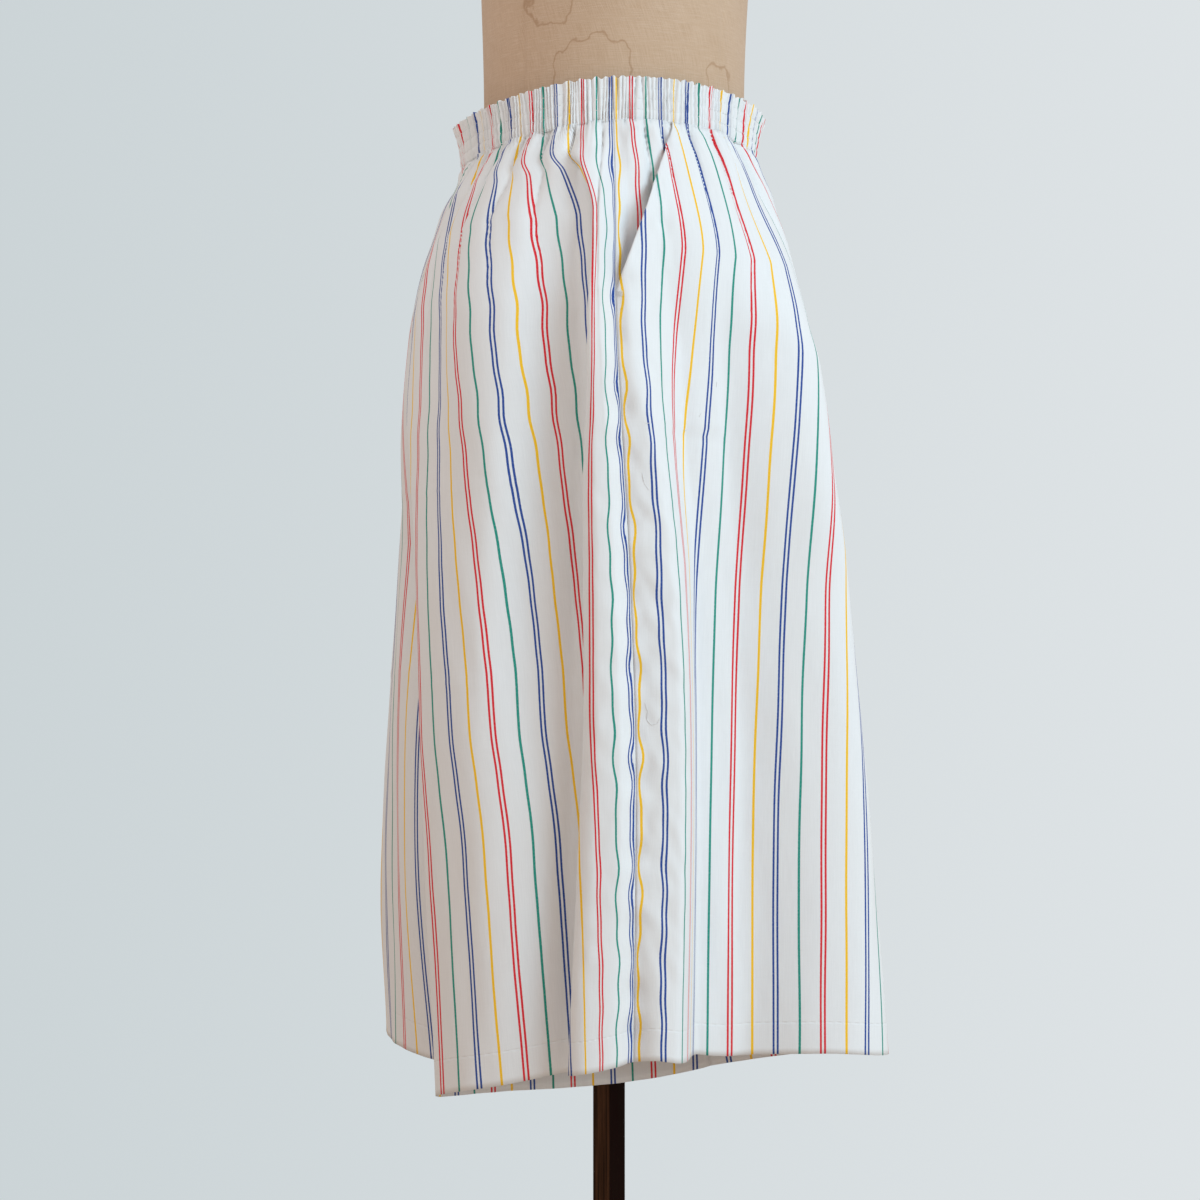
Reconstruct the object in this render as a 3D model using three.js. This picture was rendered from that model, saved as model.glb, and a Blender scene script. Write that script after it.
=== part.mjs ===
// Culotte shorts with an elastic shirred waist, worn by a limbless dress form on a pole stand.
// Millimetres, +Z up. The origin is on the floor under the pole, the front faces -Y and the wearer's right
// is -X.
// In the plan formulas f is the distance forward (-Y) and r the distance out from the centre plane.
import * as THREE from 'three';

// ---- driving dimensions -----------------------------------------------------------------------------
const BAND_TOP = 1050;            // mean height of the casing's top edge
const BAND_BOTTOM = 1019;         // mean height where the shirring ends and the cloth billows out
const GROOVE = 885;               // the legs start to part below this height
const CROTCH = 730;               // lowest point of the crotch seam
const HEM = 349;                  // mean height of the hem
const SEAM_GAP = 0.3;             // distance between neighbouring pieces
const CLOTH = 1.4;                // wall of one cloth layer
const CASING = 3.0;               // folded cloth with the elastic inside
const CROTCH_F = 20;              // f of the crotch point
const INSEAM_F = 73;              // f of the inseam at the hem
const SEAM_SHIFT = 21.5;          // the crotch seam passes this far to the right of the pole's axis
const WAIST_TILT = 6.5;           // the band is this much higher at the sides, lower at front and back
const WAIST_DROP = 5.5;           // and this much lower again at the back
const LEFT_NARROW = 18;           // the left leg is narrower beside the pole
const LEFT_RAISE = 12;            // and its hem is this much higher at the back
// The pocket's slanted mouth: its top's distance from the side seam, its lower end, and the facing behind it.
const POCKET = { top: 43, bottom: 893, underlap: 20, depth: 3.4 };
const FORM_BOTTOM = 800;
const POLE = { side: 17.6, turn: 35 };
const BASE = { radius: 180, height: 24, edge: 6 };

// A table as one object per row, from its columns' names.
function table(names, rows) {
  return rows.map((row) => Object.fromEntries(names.split(' ').map((name, i) => [name, row[i]])));
}

// Outline of the cloth in plan: the furthest point forward and back, the widest point and where it lies, how
// far out the leg's corners are, how square the outer side's front and back halves are, and the side seam.
const SECTIONS = table('z front back wide apex frontR backR frontN backN seam', [
  [1050, 115, -115, 118, 0, 0, 0, 2.0, 2.0, -19],
  [1019, 110, -111, 119, 0, 0, 0, 2.0, 2.0, -19],
  [985, 120, -124, 140, 0, 0, 0, 2.1, 2.1, -22],
  [940, 131, -139, 165, 0, 0, 0, 2.1, 2.1, -26],
  [885, 142, -151, 181, 0, 0, 0, 2.2, 2.1, -29],
  [800, 149, -156, 188, 0, 30, 40, 2.3, 1.8, -26],
  [700, 156, -156, 190, 0, 60, 80, 2.4, 1.6, -21],
  [550, 167, -153, 191, 0, 66, 100, 2.4, 1.5, -17],
  [349, 183, -144, 192, 0, 70, 103, 2.4, 1.5, -19],
]);
// The left leg hangs this much further back.
const LEFT_BACK = table('z back', [[760, 0], [685, 5], [540, 15], [460, 20], [349, 23]]);

// The hem's lift by the direction that the cloth faces, in degrees from the front towards the leg's own side.
const HEM_LIFT = table('turn lift', [
  [0, 7], [20, 9], [45, 15], [70, 12], [84, 16.5], [92, 22], [102, 20], [120, 12],
  [148, -2.5], [180, -14], [204, -17.5], [240, -22], [270, -14], [315, -3], [360, 7],
]);

// How square the inner wall is: on the right it runs straight to the back corner, on the left round the pole.
const INNER_N = { start: 2.2, front: 2.0, backRight: 1.35, backLeft: 3.0 };

// Soft folds of each panel. Along the outline from the side seam each rises to its outward depth between
// rise0 and rise1 and dies away between fall0 and fall1.
const FOLDS = {
  front_right: [
    [
      { z: 1000, depth: 0, rise0: 0, rise1: 40, fall0: 90, fall1: 150 },
      { z: 940, depth: -10, rise0: 0, rise1: 45, fall0: 90, fall1: 150 },
      { z: 885, depth: -26, rise0: 2, rise1: 52, fall0: 90, fall1: 150 },
      { z: 855, depth: -33, rise0: 6, rise1: 60, fall0: 92, fall1: 160 },
      { z: 770, depth: -42, rise0: 20, rise1: 62, fall0: 100, fall1: 175 },
      { z: 685, depth: -50, rise0: 28, rise1: 66, fall0: 105, fall1: 195 },
      { z: 515, depth: -57, rise0: 30, rise1: 66, fall0: 105, fall1: 195 },
      { z: 349, depth: -59, rise0: 28, rise1: 66, fall0: 100, fall1: 195 },
    ],
    [
      { z: 1000, depth: 0, rise0: 120, rise1: 165, fall0: 165, fall1: 200 },
      { z: 885, depth: 6, rise0: 130, rise1: 170, fall0: 170, fall1: 210 },
      { z: 855, depth: 10, rise0: 135, rise1: 172, fall0: 172, fall1: 210 },
      { z: 685, depth: 8, rise0: 150, rise1: 185, fall0: 185, fall1: 230 },
      { z: 349, depth: 10, rise0: 170, rise1: 215, fall0: 215, fall1: 250 },
    ],
  ],
  front_left: [
    [
      { z: 960, depth: 0, rise0: 10, rise1: 55, fall0: 80, fall1: 150 },
      { z: 800, depth: -22, rise0: 14, rise1: 60, fall0: 90, fall1: 165 },
      { z: 600, depth: -36, rise0: 20, rise1: 66, fall0: 100, fall1: 185 },
      { z: 349, depth: -40, rise0: 24, rise1: 70, fall0: 100, fall1: 190 },
    ],
  ],
  back_right: [
    [
      { z: 1000, depth: 0, rise0: 60, rise1: 110, fall0: 110, fall1: 160 },
      { z: 870, depth: 10, rise0: 60, rise1: 108, fall0: 108, fall1: 160 },
      { z: 685, depth: 4, rise0: 60, rise1: 110, fall0: 110, fall1: 160 },
      { z: 349, depth: 0, rise0: 60, rise1: 110, fall0: 110, fall1: 160 },
    ],
  ],
  back_left: [
    [
      { z: 980, depth: 0, rise0: 110, rise1: 150, fall0: 160, fall1: 220 },
      { z: 640, depth: -8, rise0: 120, rise1: 170, fall0: 190, fall1: 260 },
      { z: 349, depth: -9, rise0: 130, rise1: 180, fall0: 200, fall1: 280 },
    ],
  ],
};

// Laps: the layer nearer the side seam lies over and the cloth doubles back under it. edge is the fold's
// distance from the side seam, length the cloth that turns under, and turn how far it turns: 1 is flat back.
const LAPS = {
  back_right: [
    { z: 1005, edge: 27, length: 16, turn: 0 },
    { z: 985, edge: 20, length: 15, turn: 0.5 },
    { z: 950, edge: 13, length: 19, turn: 0.72 },
    { z: 850, edge: 17, length: 26, turn: 0.78 },
    { z: 745, edge: 25, length: 37, turn: 0.86 },
    { z: 610, edge: 29, length: 47, turn: 0.95 },
    { z: 510, edge: 33, length: 51, turn: 0.95 },
    { z: 349, edge: 38, length: 51, turn: 0.95 },
  ],
  back_left: [
    { z: 1019, edge: 60, length: 20, turn: 0 },
    { z: 985, edge: 62, length: 24, turn: 0.1 },
    { z: 850, edge: 70, length: 34, turn: 0.35 },
    { z: 560, edge: 90, length: 44, turn: 0.62 },
    { z: 349, edge: 98, length: 44, turn: 0.62 },
  ],
};
const LAP_SPREAD = 75;            // the offset of a lap's layers dies away over this distance

const FORM = [
  { z: 800, wide: 118, front: 92, back: -92 },
  { z: 806, wide: 124, front: 96, back: -96 },
  { z: 840, wide: 142, front: 105, back: -105 },
  { z: 885, wide: 150, front: 108, back: -108 },
  { z: 940, wide: 138, front: 105, back: -103 },
  { z: 1000, wide: 112, front: 102, back: -96 },
  { z: 1050, wide: 109, front: 101, back: -94 },
  { z: 1140, wide: 116, front: 104, back: -96 },
  { z: 1200, wide: 128, front: 115, back: -99 },
  { z: 1270, wide: 139, front: 124, back: -104 },
  { z: 1340, wide: 146, front: 108, back: -106 },
  { z: 1390, wide: 144, front: 88, back: -100 },
  { z: 1425, wide: 124, front: 70, back: -88 },
  { z: 1448, wide: 92, front: 58, back: -74 },
  { z: 1465, wide: 66, front: 50, back: -62 },
  { z: 1490, wide: 54, front: 46, back: -54 },
  { z: 1530, wide: 50, front: 44, back: -50 },
];
const FORM_SIDES = 56;
const FORM_SQUARE = 2.05;

// ---- materials --------------------------------------------------------------------------------------
const COTTON = new THREE.MeshStandardMaterial({ color: 0xe6e9ea, roughness: 0.9, metalness: 0 });
const LINEN = new THREE.MeshStandardMaterial({ color: 0xb3987c, roughness: 0.95, metalness: 0 });
const DARK_WOOD = new THREE.MeshStandardMaterial({ color: 0x2a1c14, roughness: 0.45, metalness: 0 });

// ---- helpers ----------------------------------------------------------------------------------------
const lerp = (a, b, t) => a + (b - a) * t;
const clamp01 = (t) => Math.min(Math.max(t, 0), 1);

function smooth(t) {
  const c = clamp01(t);
  return c * c * (3 - 2 * c);
}

// Value of one column of a table at a height, or at another column's value, along a smooth curve that doesn't
// overshoot the rows.
function column(records, name, value, by = 'z') {
  const rows = [...records].sort((a, b) => a[by] - b[by]);
  const last = rows.length - 1;
  const place = Math.min(Math.max(value, rows[0][by]), rows[last][by]);
  const step = rows.slice(1).map((row, i) => row[by] - rows[i][by]);
  const slope = rows.slice(1).map((row, i) => (row[name] - rows[i][name]) / step[i]);
  const tangent = rows.map((row, i) => {
    if (i === 0) return slope[0];
    if (i === last) return slope[last - 1];
    if (slope[i - 1] * slope[i] <= 0) return 0;
    const a = 2 * step[i] + step[i - 1];
    const b = step[i] + 2 * step[i - 1];
    return (a + b) / (a / slope[i - 1] + b / slope[i]);
  });
  let k = 0;
  while (k < last - 1 && place > rows[k + 1][by]) k += 1;
  const h = step[k];
  const t = (place - rows[k][by]) / h;
  const left = (1 + 2 * t) * (1 - t) ** 2 * rows[k][name] + t * (1 - t) ** 2 * h * tangent[k];
  const right = t * t * (3 - 2 * t) * rows[k + 1][name] + t * t * (t - 1) * h * tangent[k + 1];
  return left + right;
}

// Every column of a table at height z.
function columnsAt(records, z) {
  const names = Object.keys(records[0]).filter((name) => name !== 'z');
  return Object.fromEntries(names.map((name) => [name, column(records, name, z)]));
}

// A quarter of a superellipse about (f, r), from its point furthest out to its point furthest along f.
function quarter(f, r, alongF, alongR, n, steps) {
  const points = [];
  for (let i = 0; i <= steps; i += 1) {
    const p = (Math.PI / 2) * (i / steps);
    points.push({
      f: f + alongF * Math.sin(p) ** (2 / n),
      r: r + alongR * Math.max(Math.cos(p), 0) ** (2 / n),
      angle: p,
    });
  }
  return points;
}

// ---- the cloth's outline ----------------------------------------------------------------------------
const QUARTER_STEPS = 160;

// The base outline of one panel at a row's height, from the side seam to its inner edge, without folds.
function outline(z, key, isLeft) {
  const section = columnsAt(SECTIONS, z);
  const down = smooth((GROOVE - z) / 250);
  const wide = section.wide - (isLeft ? LEFT_NARROW * down : 0);
  const shift = SEAM_SHIFT * smooth((GROOVE - z) / 110);
  const innerR = (isLeft ? -shift : shift) + SEAM_GAP / 2;
  const cornerR = { front: Math.max(section.frontR, innerR), back: Math.max(section.backR, innerR) };
  const outer = (side) => quarter(
    section.apex, cornerR[side], section[side] - section.apex, wide - cornerR[side],
    section[`${side}N`], QUARTER_STEPS,
  );
  const behind = outer('back');
  let cut = 0;
  while (cut < behind.length - 1 && behind[cut + 1].f > section.seam) cut += 1;
  const t = (behind[cut].f - section.seam) / (behind[cut].f - behind[cut + 1].f);
  const seam = {
    f: section.seam,
    r: lerp(behind[cut].r, behind[cut + 1].r, t),
    angle: lerp(behind[cut].angle, behind[cut + 1].angle, t),
  };
  const half = Math.PI / 2;
  let points;
  if (key === 'front') {
    const rear = behind.slice(1, cut + 1).reverse();
    points = [seam, ...rear].map((p) => ({ f: p.f, r: p.r, phi: half + p.angle }));
    points.push(...outer('front').map((p) => ({ f: p.f, r: p.r, phi: half - p.angle })));
  } else {
    points = [seam, ...behind.slice(cut + 1)].map((p) => ({ f: p.f, r: p.r, phi: half + p.angle }));
  }
  const corner = points.length - 1;
  if (z < GROOVE) {
    // The inner wall is a quarter too. Above the crotch it is cut off where it meets the crotch seam.
    const reach = clamp01((GROOVE - z) / (GROOVE - CROTCH));
    const end = lerp(CROTCH_F, INSEAM_F, clamp01((CROTCH - z) / (CROTCH - HEM)));
    const innerN = key === 'front' ? INNER_N.front : INNER_N[isLeft ? 'backLeft' : 'backRight'];
    const n = lerp(INNER_N.start, innerN, smooth((GROOVE - z) / 300));
    const turn = key === 'front' ? -1 : 1;
    const start = key === 'front' ? 0 : Math.PI;
    for (let i = 1; i <= QUARTER_STEPS; i += 1) {
      const p = Math.asin(reach) * (i / QUARTER_STEPS);
      points.push({
        f: end + (section[key] - end) * Math.max(Math.cos(p), 0) ** (2 / n),
        r: cornerR[key] - (cornerR[key] - innerR) * (Math.sin(p) / reach) ** (2 / n),
        phi: start + turn * p,
      });
    }
  }
  const sway = isLeft ? column(LEFT_BACK, 'back', z) : 0;
  return { points: points.map((p) => ({ f: p.f - sway, r: p.r, phi: p.phi })), corner };
}

// How far a point stands above its row's nominal height: the band and the hem aren't level.
function lift(z, phi, isLeft) {
  const t = clamp01((BAND_TOP - z) / (BAND_TOP - HEM));
  const drop = WAIST_DROP * Math.max(-Math.cos(phi), 0) ** 2;
  const waist = -(WAIST_TILT * Math.cos(2 * phi) + drop) * (1 - t) ** 3;
  const turn = ((phi * 180) / Math.PI + 360) % 360;
  const raise = isLeft ? (LEFT_RAISE * (1 - Math.cos(phi))) / 2 : 0;
  const hem = column(HEM_LIFT, 'lift', turn, 'turn') + raise;
  return waist + hem * t * t;
}

// Points at given distances along an outline, with the outward normal in plan.
function measured({ points, corner }) {
  const along = [0];
  for (let i = 1; i < points.length; i += 1) {
    along.push(along[i - 1] + Math.hypot(points[i].f - points[i - 1].f, points[i].r - points[i - 1].r));
  }
  const length = along[along.length - 1];
  const at = (s) => {
    const d = Math.min(Math.max(s, 0), length);
    let k = 0;
    while (k < along.length - 2 && d > along[k + 1]) k += 1;
    const t = (d - along[k]) / Math.max(along[k + 1] - along[k], 1e-9);
    return {
      f: lerp(points[k].f, points[k + 1].f, t),
      r: lerp(points[k].r, points[k + 1].r, t),
      phi: lerp(points[k].phi, points[k + 1].phi, t),
    };
  };
  return { length, corner: along[corner], at };
}

// The lap at a height, and for a share of its length how far the cloth has gone along and inward.
function lapAt(name, z) {
  const { edge, length, turn } = columnsAt(LAPS[name], z);
  const steps = 60;
  const along = [0];
  const inward = [0];
  for (let i = 0; i < steps; i += 1) {
    const t = (i + 0.5) / steps;
    const turned = Math.PI * turn * smooth(t / 0.34) * smooth((1 - t) / 0.34);
    along.push(along[i] + (Math.cos(turned) * length) / steps);
    inward.push(inward[i] + (Math.sin(turned) * length) / steps);
  }
  const read = (list, t) => {
    const x = clamp01(t) * steps;
    const k = Math.min(Math.floor(x), steps - 1);
    return lerp(list[k], list[k + 1], x - k);
  };
  return {
    edge,
    length,
    hidden: length - along[steps],
    depth: inward[steps],
    alongAt: (t) => read(along, t),
    inwardAt: (t) => read(inward, t),
  };
}

// How far a panel's folds push the cloth out at a distance along its outline.
function foldOut(name, z, s) {
  return FOLDS[name].reduce((sum, rows) => {
    const fold = columnsAt(rows, z);
    const up = smooth((s - fold.rise0) / (fold.rise1 - fold.rise0));
    const down = smooth((s - fold.fall0) / (fold.fall1 - fold.fall0));
    return sum + fold.depth * up * (1 - down);
  }, 0);
}

// ---- panels -----------------------------------------------------------------------------------------
const COLUMNS = 27;
const LAP_COLUMNS = 9;            // of them, those that follow a lap
const INNER_COLUMNS = 9;          // of them, those of the leg's inner wall
const INNER_LEAST = 60;           // above the crotch these take at least this length of cloth

// Row heights: even above the groove, along the crotch curve by its angle, then even to the hem.
function rowHeights() {
  const heights = [BAND_BOTTOM - SEAM_GAP, 1000, 975, 945, 915, GROOVE];
  const arcRows = 6;
  for (let i = 1; i <= arcRows; i += 1) {
    heights.push(GROOVE - (GROOVE - CROTCH) * Math.sin((Math.PI / 2) * (i / arcRows)));
  }
  const legRows = 7;
  for (let i = 1; i <= legRows; i += 1) heights.push(lerp(CROTCH, HEM, i / legRows));
  return heights;
}

// Adds count stops after the last one, evenly up to a distance.
function addStops(stops, distance, count) {
  const from = stops[stops.length - 1];
  for (let i = 1; i <= count; i += 1) stops.push(lerp(from, distance, i / count));
}

// Distances along the cloth of one row's columns. The same columns follow the lap and the inner wall in each
// row.
function clothStops(start, lap, bend, total) {
  const stops = [start];
  let left = COLUMNS - 1 - INNER_COLUMNS;
  if (lap) {
    const before = 4;
    addStops(stops, lap.edge, before);
    addStops(stops, lap.edge + lap.length, LAP_COLUMNS - 1);
    left -= before + LAP_COLUMNS - 1;
  }
  addStops(stops, bend, left);
  addStops(stops, total, INNER_COLUMNS);
  return stops;
}

// One row of a panel as points on the cloth's outer face, with plan normals.
function clothRow(name, z, options) {
  const [key, side] = name.split('_');
  const isLeft = side === 'left';
  const base = measured(outline(z, key, isLeft));
  const lap = options.lapped ? lapAt(name, z) : null;
  const extra = lap ? lap.hidden : 0;
  const endGap = SEAM_GAP / 2;
  const total = options.end ? options.end(z) : base.length + extra - endGap;
  const bend = options.end ? total / 2 : Math.min(base.corner + extra, total - INNER_LEAST);
  const stops = clothStops(options.start(z), lap, bend, total);
  const outward = key === 'front' ? 1 : -1;
  const normal = (from, to) => {
    const size = Math.hypot(to.f - from.f, to.r - from.r);
    return { f: (outward * -(to.r - from.r)) / size, r: (outward * (to.f - from.f)) / size };
  };
  const plan = stops.map((w) => {
    let s = w;
    let out = 0;
    if (lap) {
      if (w < lap.edge) {
        out += (lap.depth / 2) * (1 - smooth((lap.edge - w) / LAP_SPREAD));
      } else if (w < lap.edge + lap.length) {
        const t = (w - lap.edge) / lap.length;
        s = lap.edge + lap.alongAt(t);
        out += lap.depth / 2 - lap.inwardAt(t);
      } else {
        s = w - extra;
        out -= (lap.depth / 2) * (1 - smooth((w - lap.edge - lap.length) / LAP_SPREAD));
      }
    }
    out += foldOut(name, z, s);
    const here = base.at(s);
    const n = normal(base.at(s - 1), base.at(s + 1));
    const edges = smooth(w / 12) * (options.end ? 1 : smooth((total - w) / 25));
    const push = out * edges - (options.inset ?? 0);
    return { f: here.f + n.f * push, r: here.r + n.r * push, phi: here.phi, base: n };
  });
  const last = plan.length - 1;
  const x = isLeft ? 1 : -1;
  return plan.map((p, i) => {
    let n = i === 0 ? p.base : null;
    if (i === last && !options.end) n = z >= GROOVE ? { f: outward, r: 0 } : { f: 0, r: -1 };
    n = n ?? normal(plan[i - 1], plan[Math.min(i + 1, last)]);
    const height = z + lift(z, p.phi, isLeft);
    return {
      out: new THREE.Vector3(x * p.r, -p.f, height),
      in: new THREE.Vector3(x * (p.r - n.r * options.wall), -(p.f - n.f * options.wall), height),
    };
  });
}

// A closed wall between two faces given as rows of out and in points.
function wallGeometry(rows) {
  const across = rows[0].length;
  const position = [];
  rows.forEach((row) => row.forEach((p) => position.push(...p.out.toArray(), ...p.in.toArray())));
  const id = (i, j, inner) => 2 * (i * across + j) + (inner ? 1 : 0);
  const index = [];
  const quad = (a, b, c, d) => index.push(a, b, c, a, c, d);
  for (let i = 0; i < rows.length - 1; i += 1) {
    for (let j = 0; j < across - 1; j += 1) {
      quad(id(i, j, 0), id(i + 1, j, 0), id(i + 1, j + 1, 0), id(i, j + 1, 0));
      quad(id(i, j, 1), id(i, j + 1, 1), id(i + 1, j + 1, 1), id(i + 1, j, 1));
    }
  }
  const last = rows.length - 1;
  for (let j = 0; j < across - 1; j += 1) {
    quad(id(0, j, 1), id(0, j, 0), id(0, j + 1, 0), id(0, j + 1, 1));
    quad(id(last, j, 0), id(last, j, 1), id(last, j + 1, 1), id(last, j + 1, 0));
  }
  for (let i = 0; i < last; i += 1) {
    quad(id(i, 0, 1), id(i + 1, 0, 1), id(i + 1, 0, 0), id(i, 0, 0));
    quad(id(i, across - 1, 0), id(i + 1, across - 1, 0), id(i + 1, across - 1, 1), id(i, across - 1, 1));
  }
  return facingOut(position, index);
}

// An indexed geometry whose faces point out, whichever way round its rows were given.
function facingOut(position, index) {
  const at = (i) => new THREE.Vector3(position[3 * i], position[3 * i + 1], position[3 * i + 2]);
  let volume = 0;
  for (let i = 0; i < index.length; i += 3) {
    volume += at(index[i]).dot(at(index[i + 1]).cross(at(index[i + 2])));
  }
  if (volume < 0) {
    for (let i = 0; i < index.length; i += 3) [index[i], index[i + 1]] = [index[i + 1], index[i]];
  }
  const geometry = new THREE.BufferGeometry();
  geometry.setAttribute('position', new THREE.Float32BufferAttribute(position, 3));
  geometry.setIndex(index);
  geometry.computeVertexNormals();
  return geometry;
}

function named(name, geometry, material) {
  const mesh = new THREE.Mesh(geometry, material);
  mesh.name = name;
  return mesh;
}

// The front panel's edge leaves the side seam along the slanted pocket mouth.
function mouthAt(z) {
  return POCKET.top * clamp01((z - POCKET.bottom) / (BAND_BOTTOM - POCKET.bottom));
}

function panel(name) {
  const isFront = name.startsWith('front');
  const start = (z) => SEAM_GAP / 2 + (isFront ? mouthAt(z) : 0);
  const rows = rowHeights().map((z) => clothRow(name, z, { start, lapped: name in LAPS, wall: CLOTH }));
  return named(name, wallGeometry(rows), COTTON);
}

// The facing shows between the side seam and the pocket's mouth, and runs on behind the front panel.
function pocketFacing(side) {
  const heights = [BAND_BOTTOM - SEAM_GAP, 1000, 975, 945, 915, POCKET.bottom];
  const options = {
    start: () => SEAM_GAP / 2,
    end: (z) => mouthAt(z) + POCKET.underlap,
    wall: CLOTH,
    inset: POCKET.depth,
  };
  const rows = heights.map((z) => {
    const row = clothRow(`front_${side}`, z, options);
    return row.filter((point, i) => i % 2 === 0 || i === row.length - 1);
  });
  return named(`pocket_facing_${side}`, wallGeometry(rows), COTTON);
}

// ---- waist casing -----------------------------------------------------------------------------------
// The casing is a closed ring: both half outlines of both sides, joined.
function casing() {
  const heights = [BAND_TOP, (BAND_TOP + BAND_BOTTOM) / 2, BAND_BOTTOM];
  const perPanel = 18;
  const ring = (z) => {
    const run = (key, isLeft) => {
      const base = measured(outline(z, key, isLeft));
      const points = [];
      for (let i = 0; i <= perPanel; i += 1) {
        const p = base.at((base.length * i) / perPanel);
        points.push({ x: (isLeft ? 1 : -1) * p.r, y: -p.f, z: z + lift(z, p.phi, false) });
      }
      return points;
    };
    const right = [...run('front', false).reverse().slice(1), ...run('back', false).slice(1)];
    const left = [...run('back', true).reverse().slice(1), ...run('front', true).slice(1)];
    return [...right, ...left];
  };
  const rows = heights.map(ring);
  const count = rows[0].length;
  const position = [];
  rows.forEach((row) => row.forEach((p) => {
    const shrink = 1 - CASING / Math.hypot(p.x, p.y);
    position.push(p.x, p.y, p.z, p.x * shrink, p.y * shrink, p.z);
  }));
  const id = (i, j, inner) => 2 * (i * count + (j % count)) + (inner ? 1 : 0);
  const index = [];
  const quad = (a, b, c, d) => index.push(a, b, c, a, c, d);
  const last = rows.length - 1;
  for (let j = 0; j < count; j += 1) {
    for (let i = 0; i < last; i += 1) {
      quad(id(i, j, 0), id(i + 1, j, 0), id(i + 1, j + 1, 0), id(i, j + 1, 0));
      quad(id(i, j, 1), id(i, j + 1, 1), id(i + 1, j + 1, 1), id(i + 1, j, 1));
    }
    quad(id(0, j, 1), id(0, j, 0), id(0, j + 1, 0), id(0, j + 1, 1));
    quad(id(last, j, 0), id(last, j, 1), id(last, j + 1, 1), id(last, j + 1, 0));
  }
  return named('waist_casing', facingOut(position, index), COTTON);
}

// ---- dress form and stand ---------------------------------------------------------------------------
// A solid through oval rings, closed by flat ends.
function ovalSolid(rings, sides) {
  const position = [];
  rings.forEach((ring) => {
    for (let j = 0; j < sides; j += 1) {
      const a = (2 * Math.PI * j) / sides;
      const c = Math.cos(a);
      const s = Math.sin(a);
      const middle = (ring.front + ring.back) / 2;
      const deep = (ring.front - ring.back) / 2;
      const f = middle + deep * Math.sign(c) * Math.abs(c) ** (2 / FORM_SQUARE);
      const r = ring.wide * Math.sign(s) * Math.abs(s) ** (2 / FORM_SQUARE);
      position.push(r, -f, ring.z);
    }
  });
  const index = [];
  for (let i = 0; i < rings.length - 1; i += 1) {
    for (let j = 0; j < sides; j += 1) {
      const a = i * sides + j;
      const b = i * sides + ((j + 1) % sides);
      index.push(a, b, b + sides, a, b + sides, a + sides);
    }
  }
  const bottom = position.length / 3;
  position.push(0, -(rings[0].front + rings[0].back) / 2, rings[0].z);
  const top = bottom + 1;
  const upper = rings[rings.length - 1];
  position.push(0, -(upper.front + upper.back) / 2, upper.z);
  const lastRing = (rings.length - 1) * sides;
  for (let j = 0; j < sides; j += 1) {
    index.push(bottom, (j + 1) % sides, j);
    index.push(top, lastRing + j, lastRing + ((j + 1) % sides));
  }
  return facingOut(position, index);
}

function formTorso() {
  const heights = [800, 806, 822, 840, 862, 885, 912, 940, 970, 1000, 1025, 1050, 1095, 1140, 1170, 1200,
    1235, 1270, 1305, 1340, 1366, 1390, 1409, 1425, 1437, 1448, 1457, 1465, 1477, 1490, 1530];
  const rings = heights.map((z) => ({
    z,
    wide: column(FORM, 'wide', z),
    front: column(FORM, 'front', z),
    back: column(FORM, 'back', z),
  }));
  return named('form_torso', ovalSolid(rings, FORM_SIDES), LINEN);
}

function formNeckCap() {
  const low = 1530 + SEAM_GAP;
  const rings = [
    { z: low, wide: 53, front: 47, back: -53 },
    { z: low + 9, wide: 53, front: 47, back: -53 },
    { z: low + 13, wide: 49, front: 43, back: -49 },
    { z: low + 15, wide: 40, front: 34, back: -40 },
  ];
  return named('form_neck_cap', ovalSolid(rings, 40), DARK_WOOD);
}

function formBottomBoard() {
  const high = FORM_BOTTOM - SEAM_GAP;
  const rings = [
    { z: high - 12, wide: 110, front: 84, back: -84 },
    { z: high - 10, wide: 112, front: 86, back: -86 },
    { z: high, wide: 112, front: 86, back: -86 },
  ];
  return named('form_bottom_board', ovalSolid(rings, 40), DARK_WOOD);
}

function standPole() {
  const low = BASE.height + SEAM_GAP;
  const high = FORM_BOTTOM - 12 - 2 * SEAM_GAP;
  const mesh = named('stand_pole', new THREE.BoxGeometry(POLE.side, POLE.side, high - low), DARK_WOOD);
  mesh.rotation.z = (POLE.turn * Math.PI) / 180;
  mesh.position.z = (low + high) / 2;
  return mesh;
}

function standBase() {
  const { radius, height, edge } = BASE;
  const profile = [
    new THREE.Vector2(0, 0),
    new THREE.Vector2(radius - edge / 2, 0),
    new THREE.Vector2(radius, edge / 2),
  ];
  const steps = 6;
  for (let i = 0; i <= steps; i += 1) {
    const a = (Math.PI / 2) * (i / steps);
    profile.push(new THREE.Vector2(radius - edge + edge * Math.cos(a), height - edge + edge * Math.sin(a)));
  }
  profile.push(new THREE.Vector2(0, height));
  const mesh = named('stand_base', new THREE.LatheGeometry(profile, 64), DARK_WOOD);
  mesh.rotation.x = Math.PI / 2;
  return mesh;
}

// ---- the object -------------------------------------------------------------------------------------
const object = new THREE.Group();
object.name = 'culotte_shorts_on_form';
object.add(panel('front_right'), panel('front_left'), panel('back_right'), panel('back_left'));
object.add(pocketFacing('right'), pocketFacing('left'), casing());
object.add(formTorso(), formNeckCap(), formBottomBoard(), standPole(), standBase());
export default object;
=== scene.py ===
import math
import bmesh
import bpy
import numpy as np
from mathutils import Matrix, Vector


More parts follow.
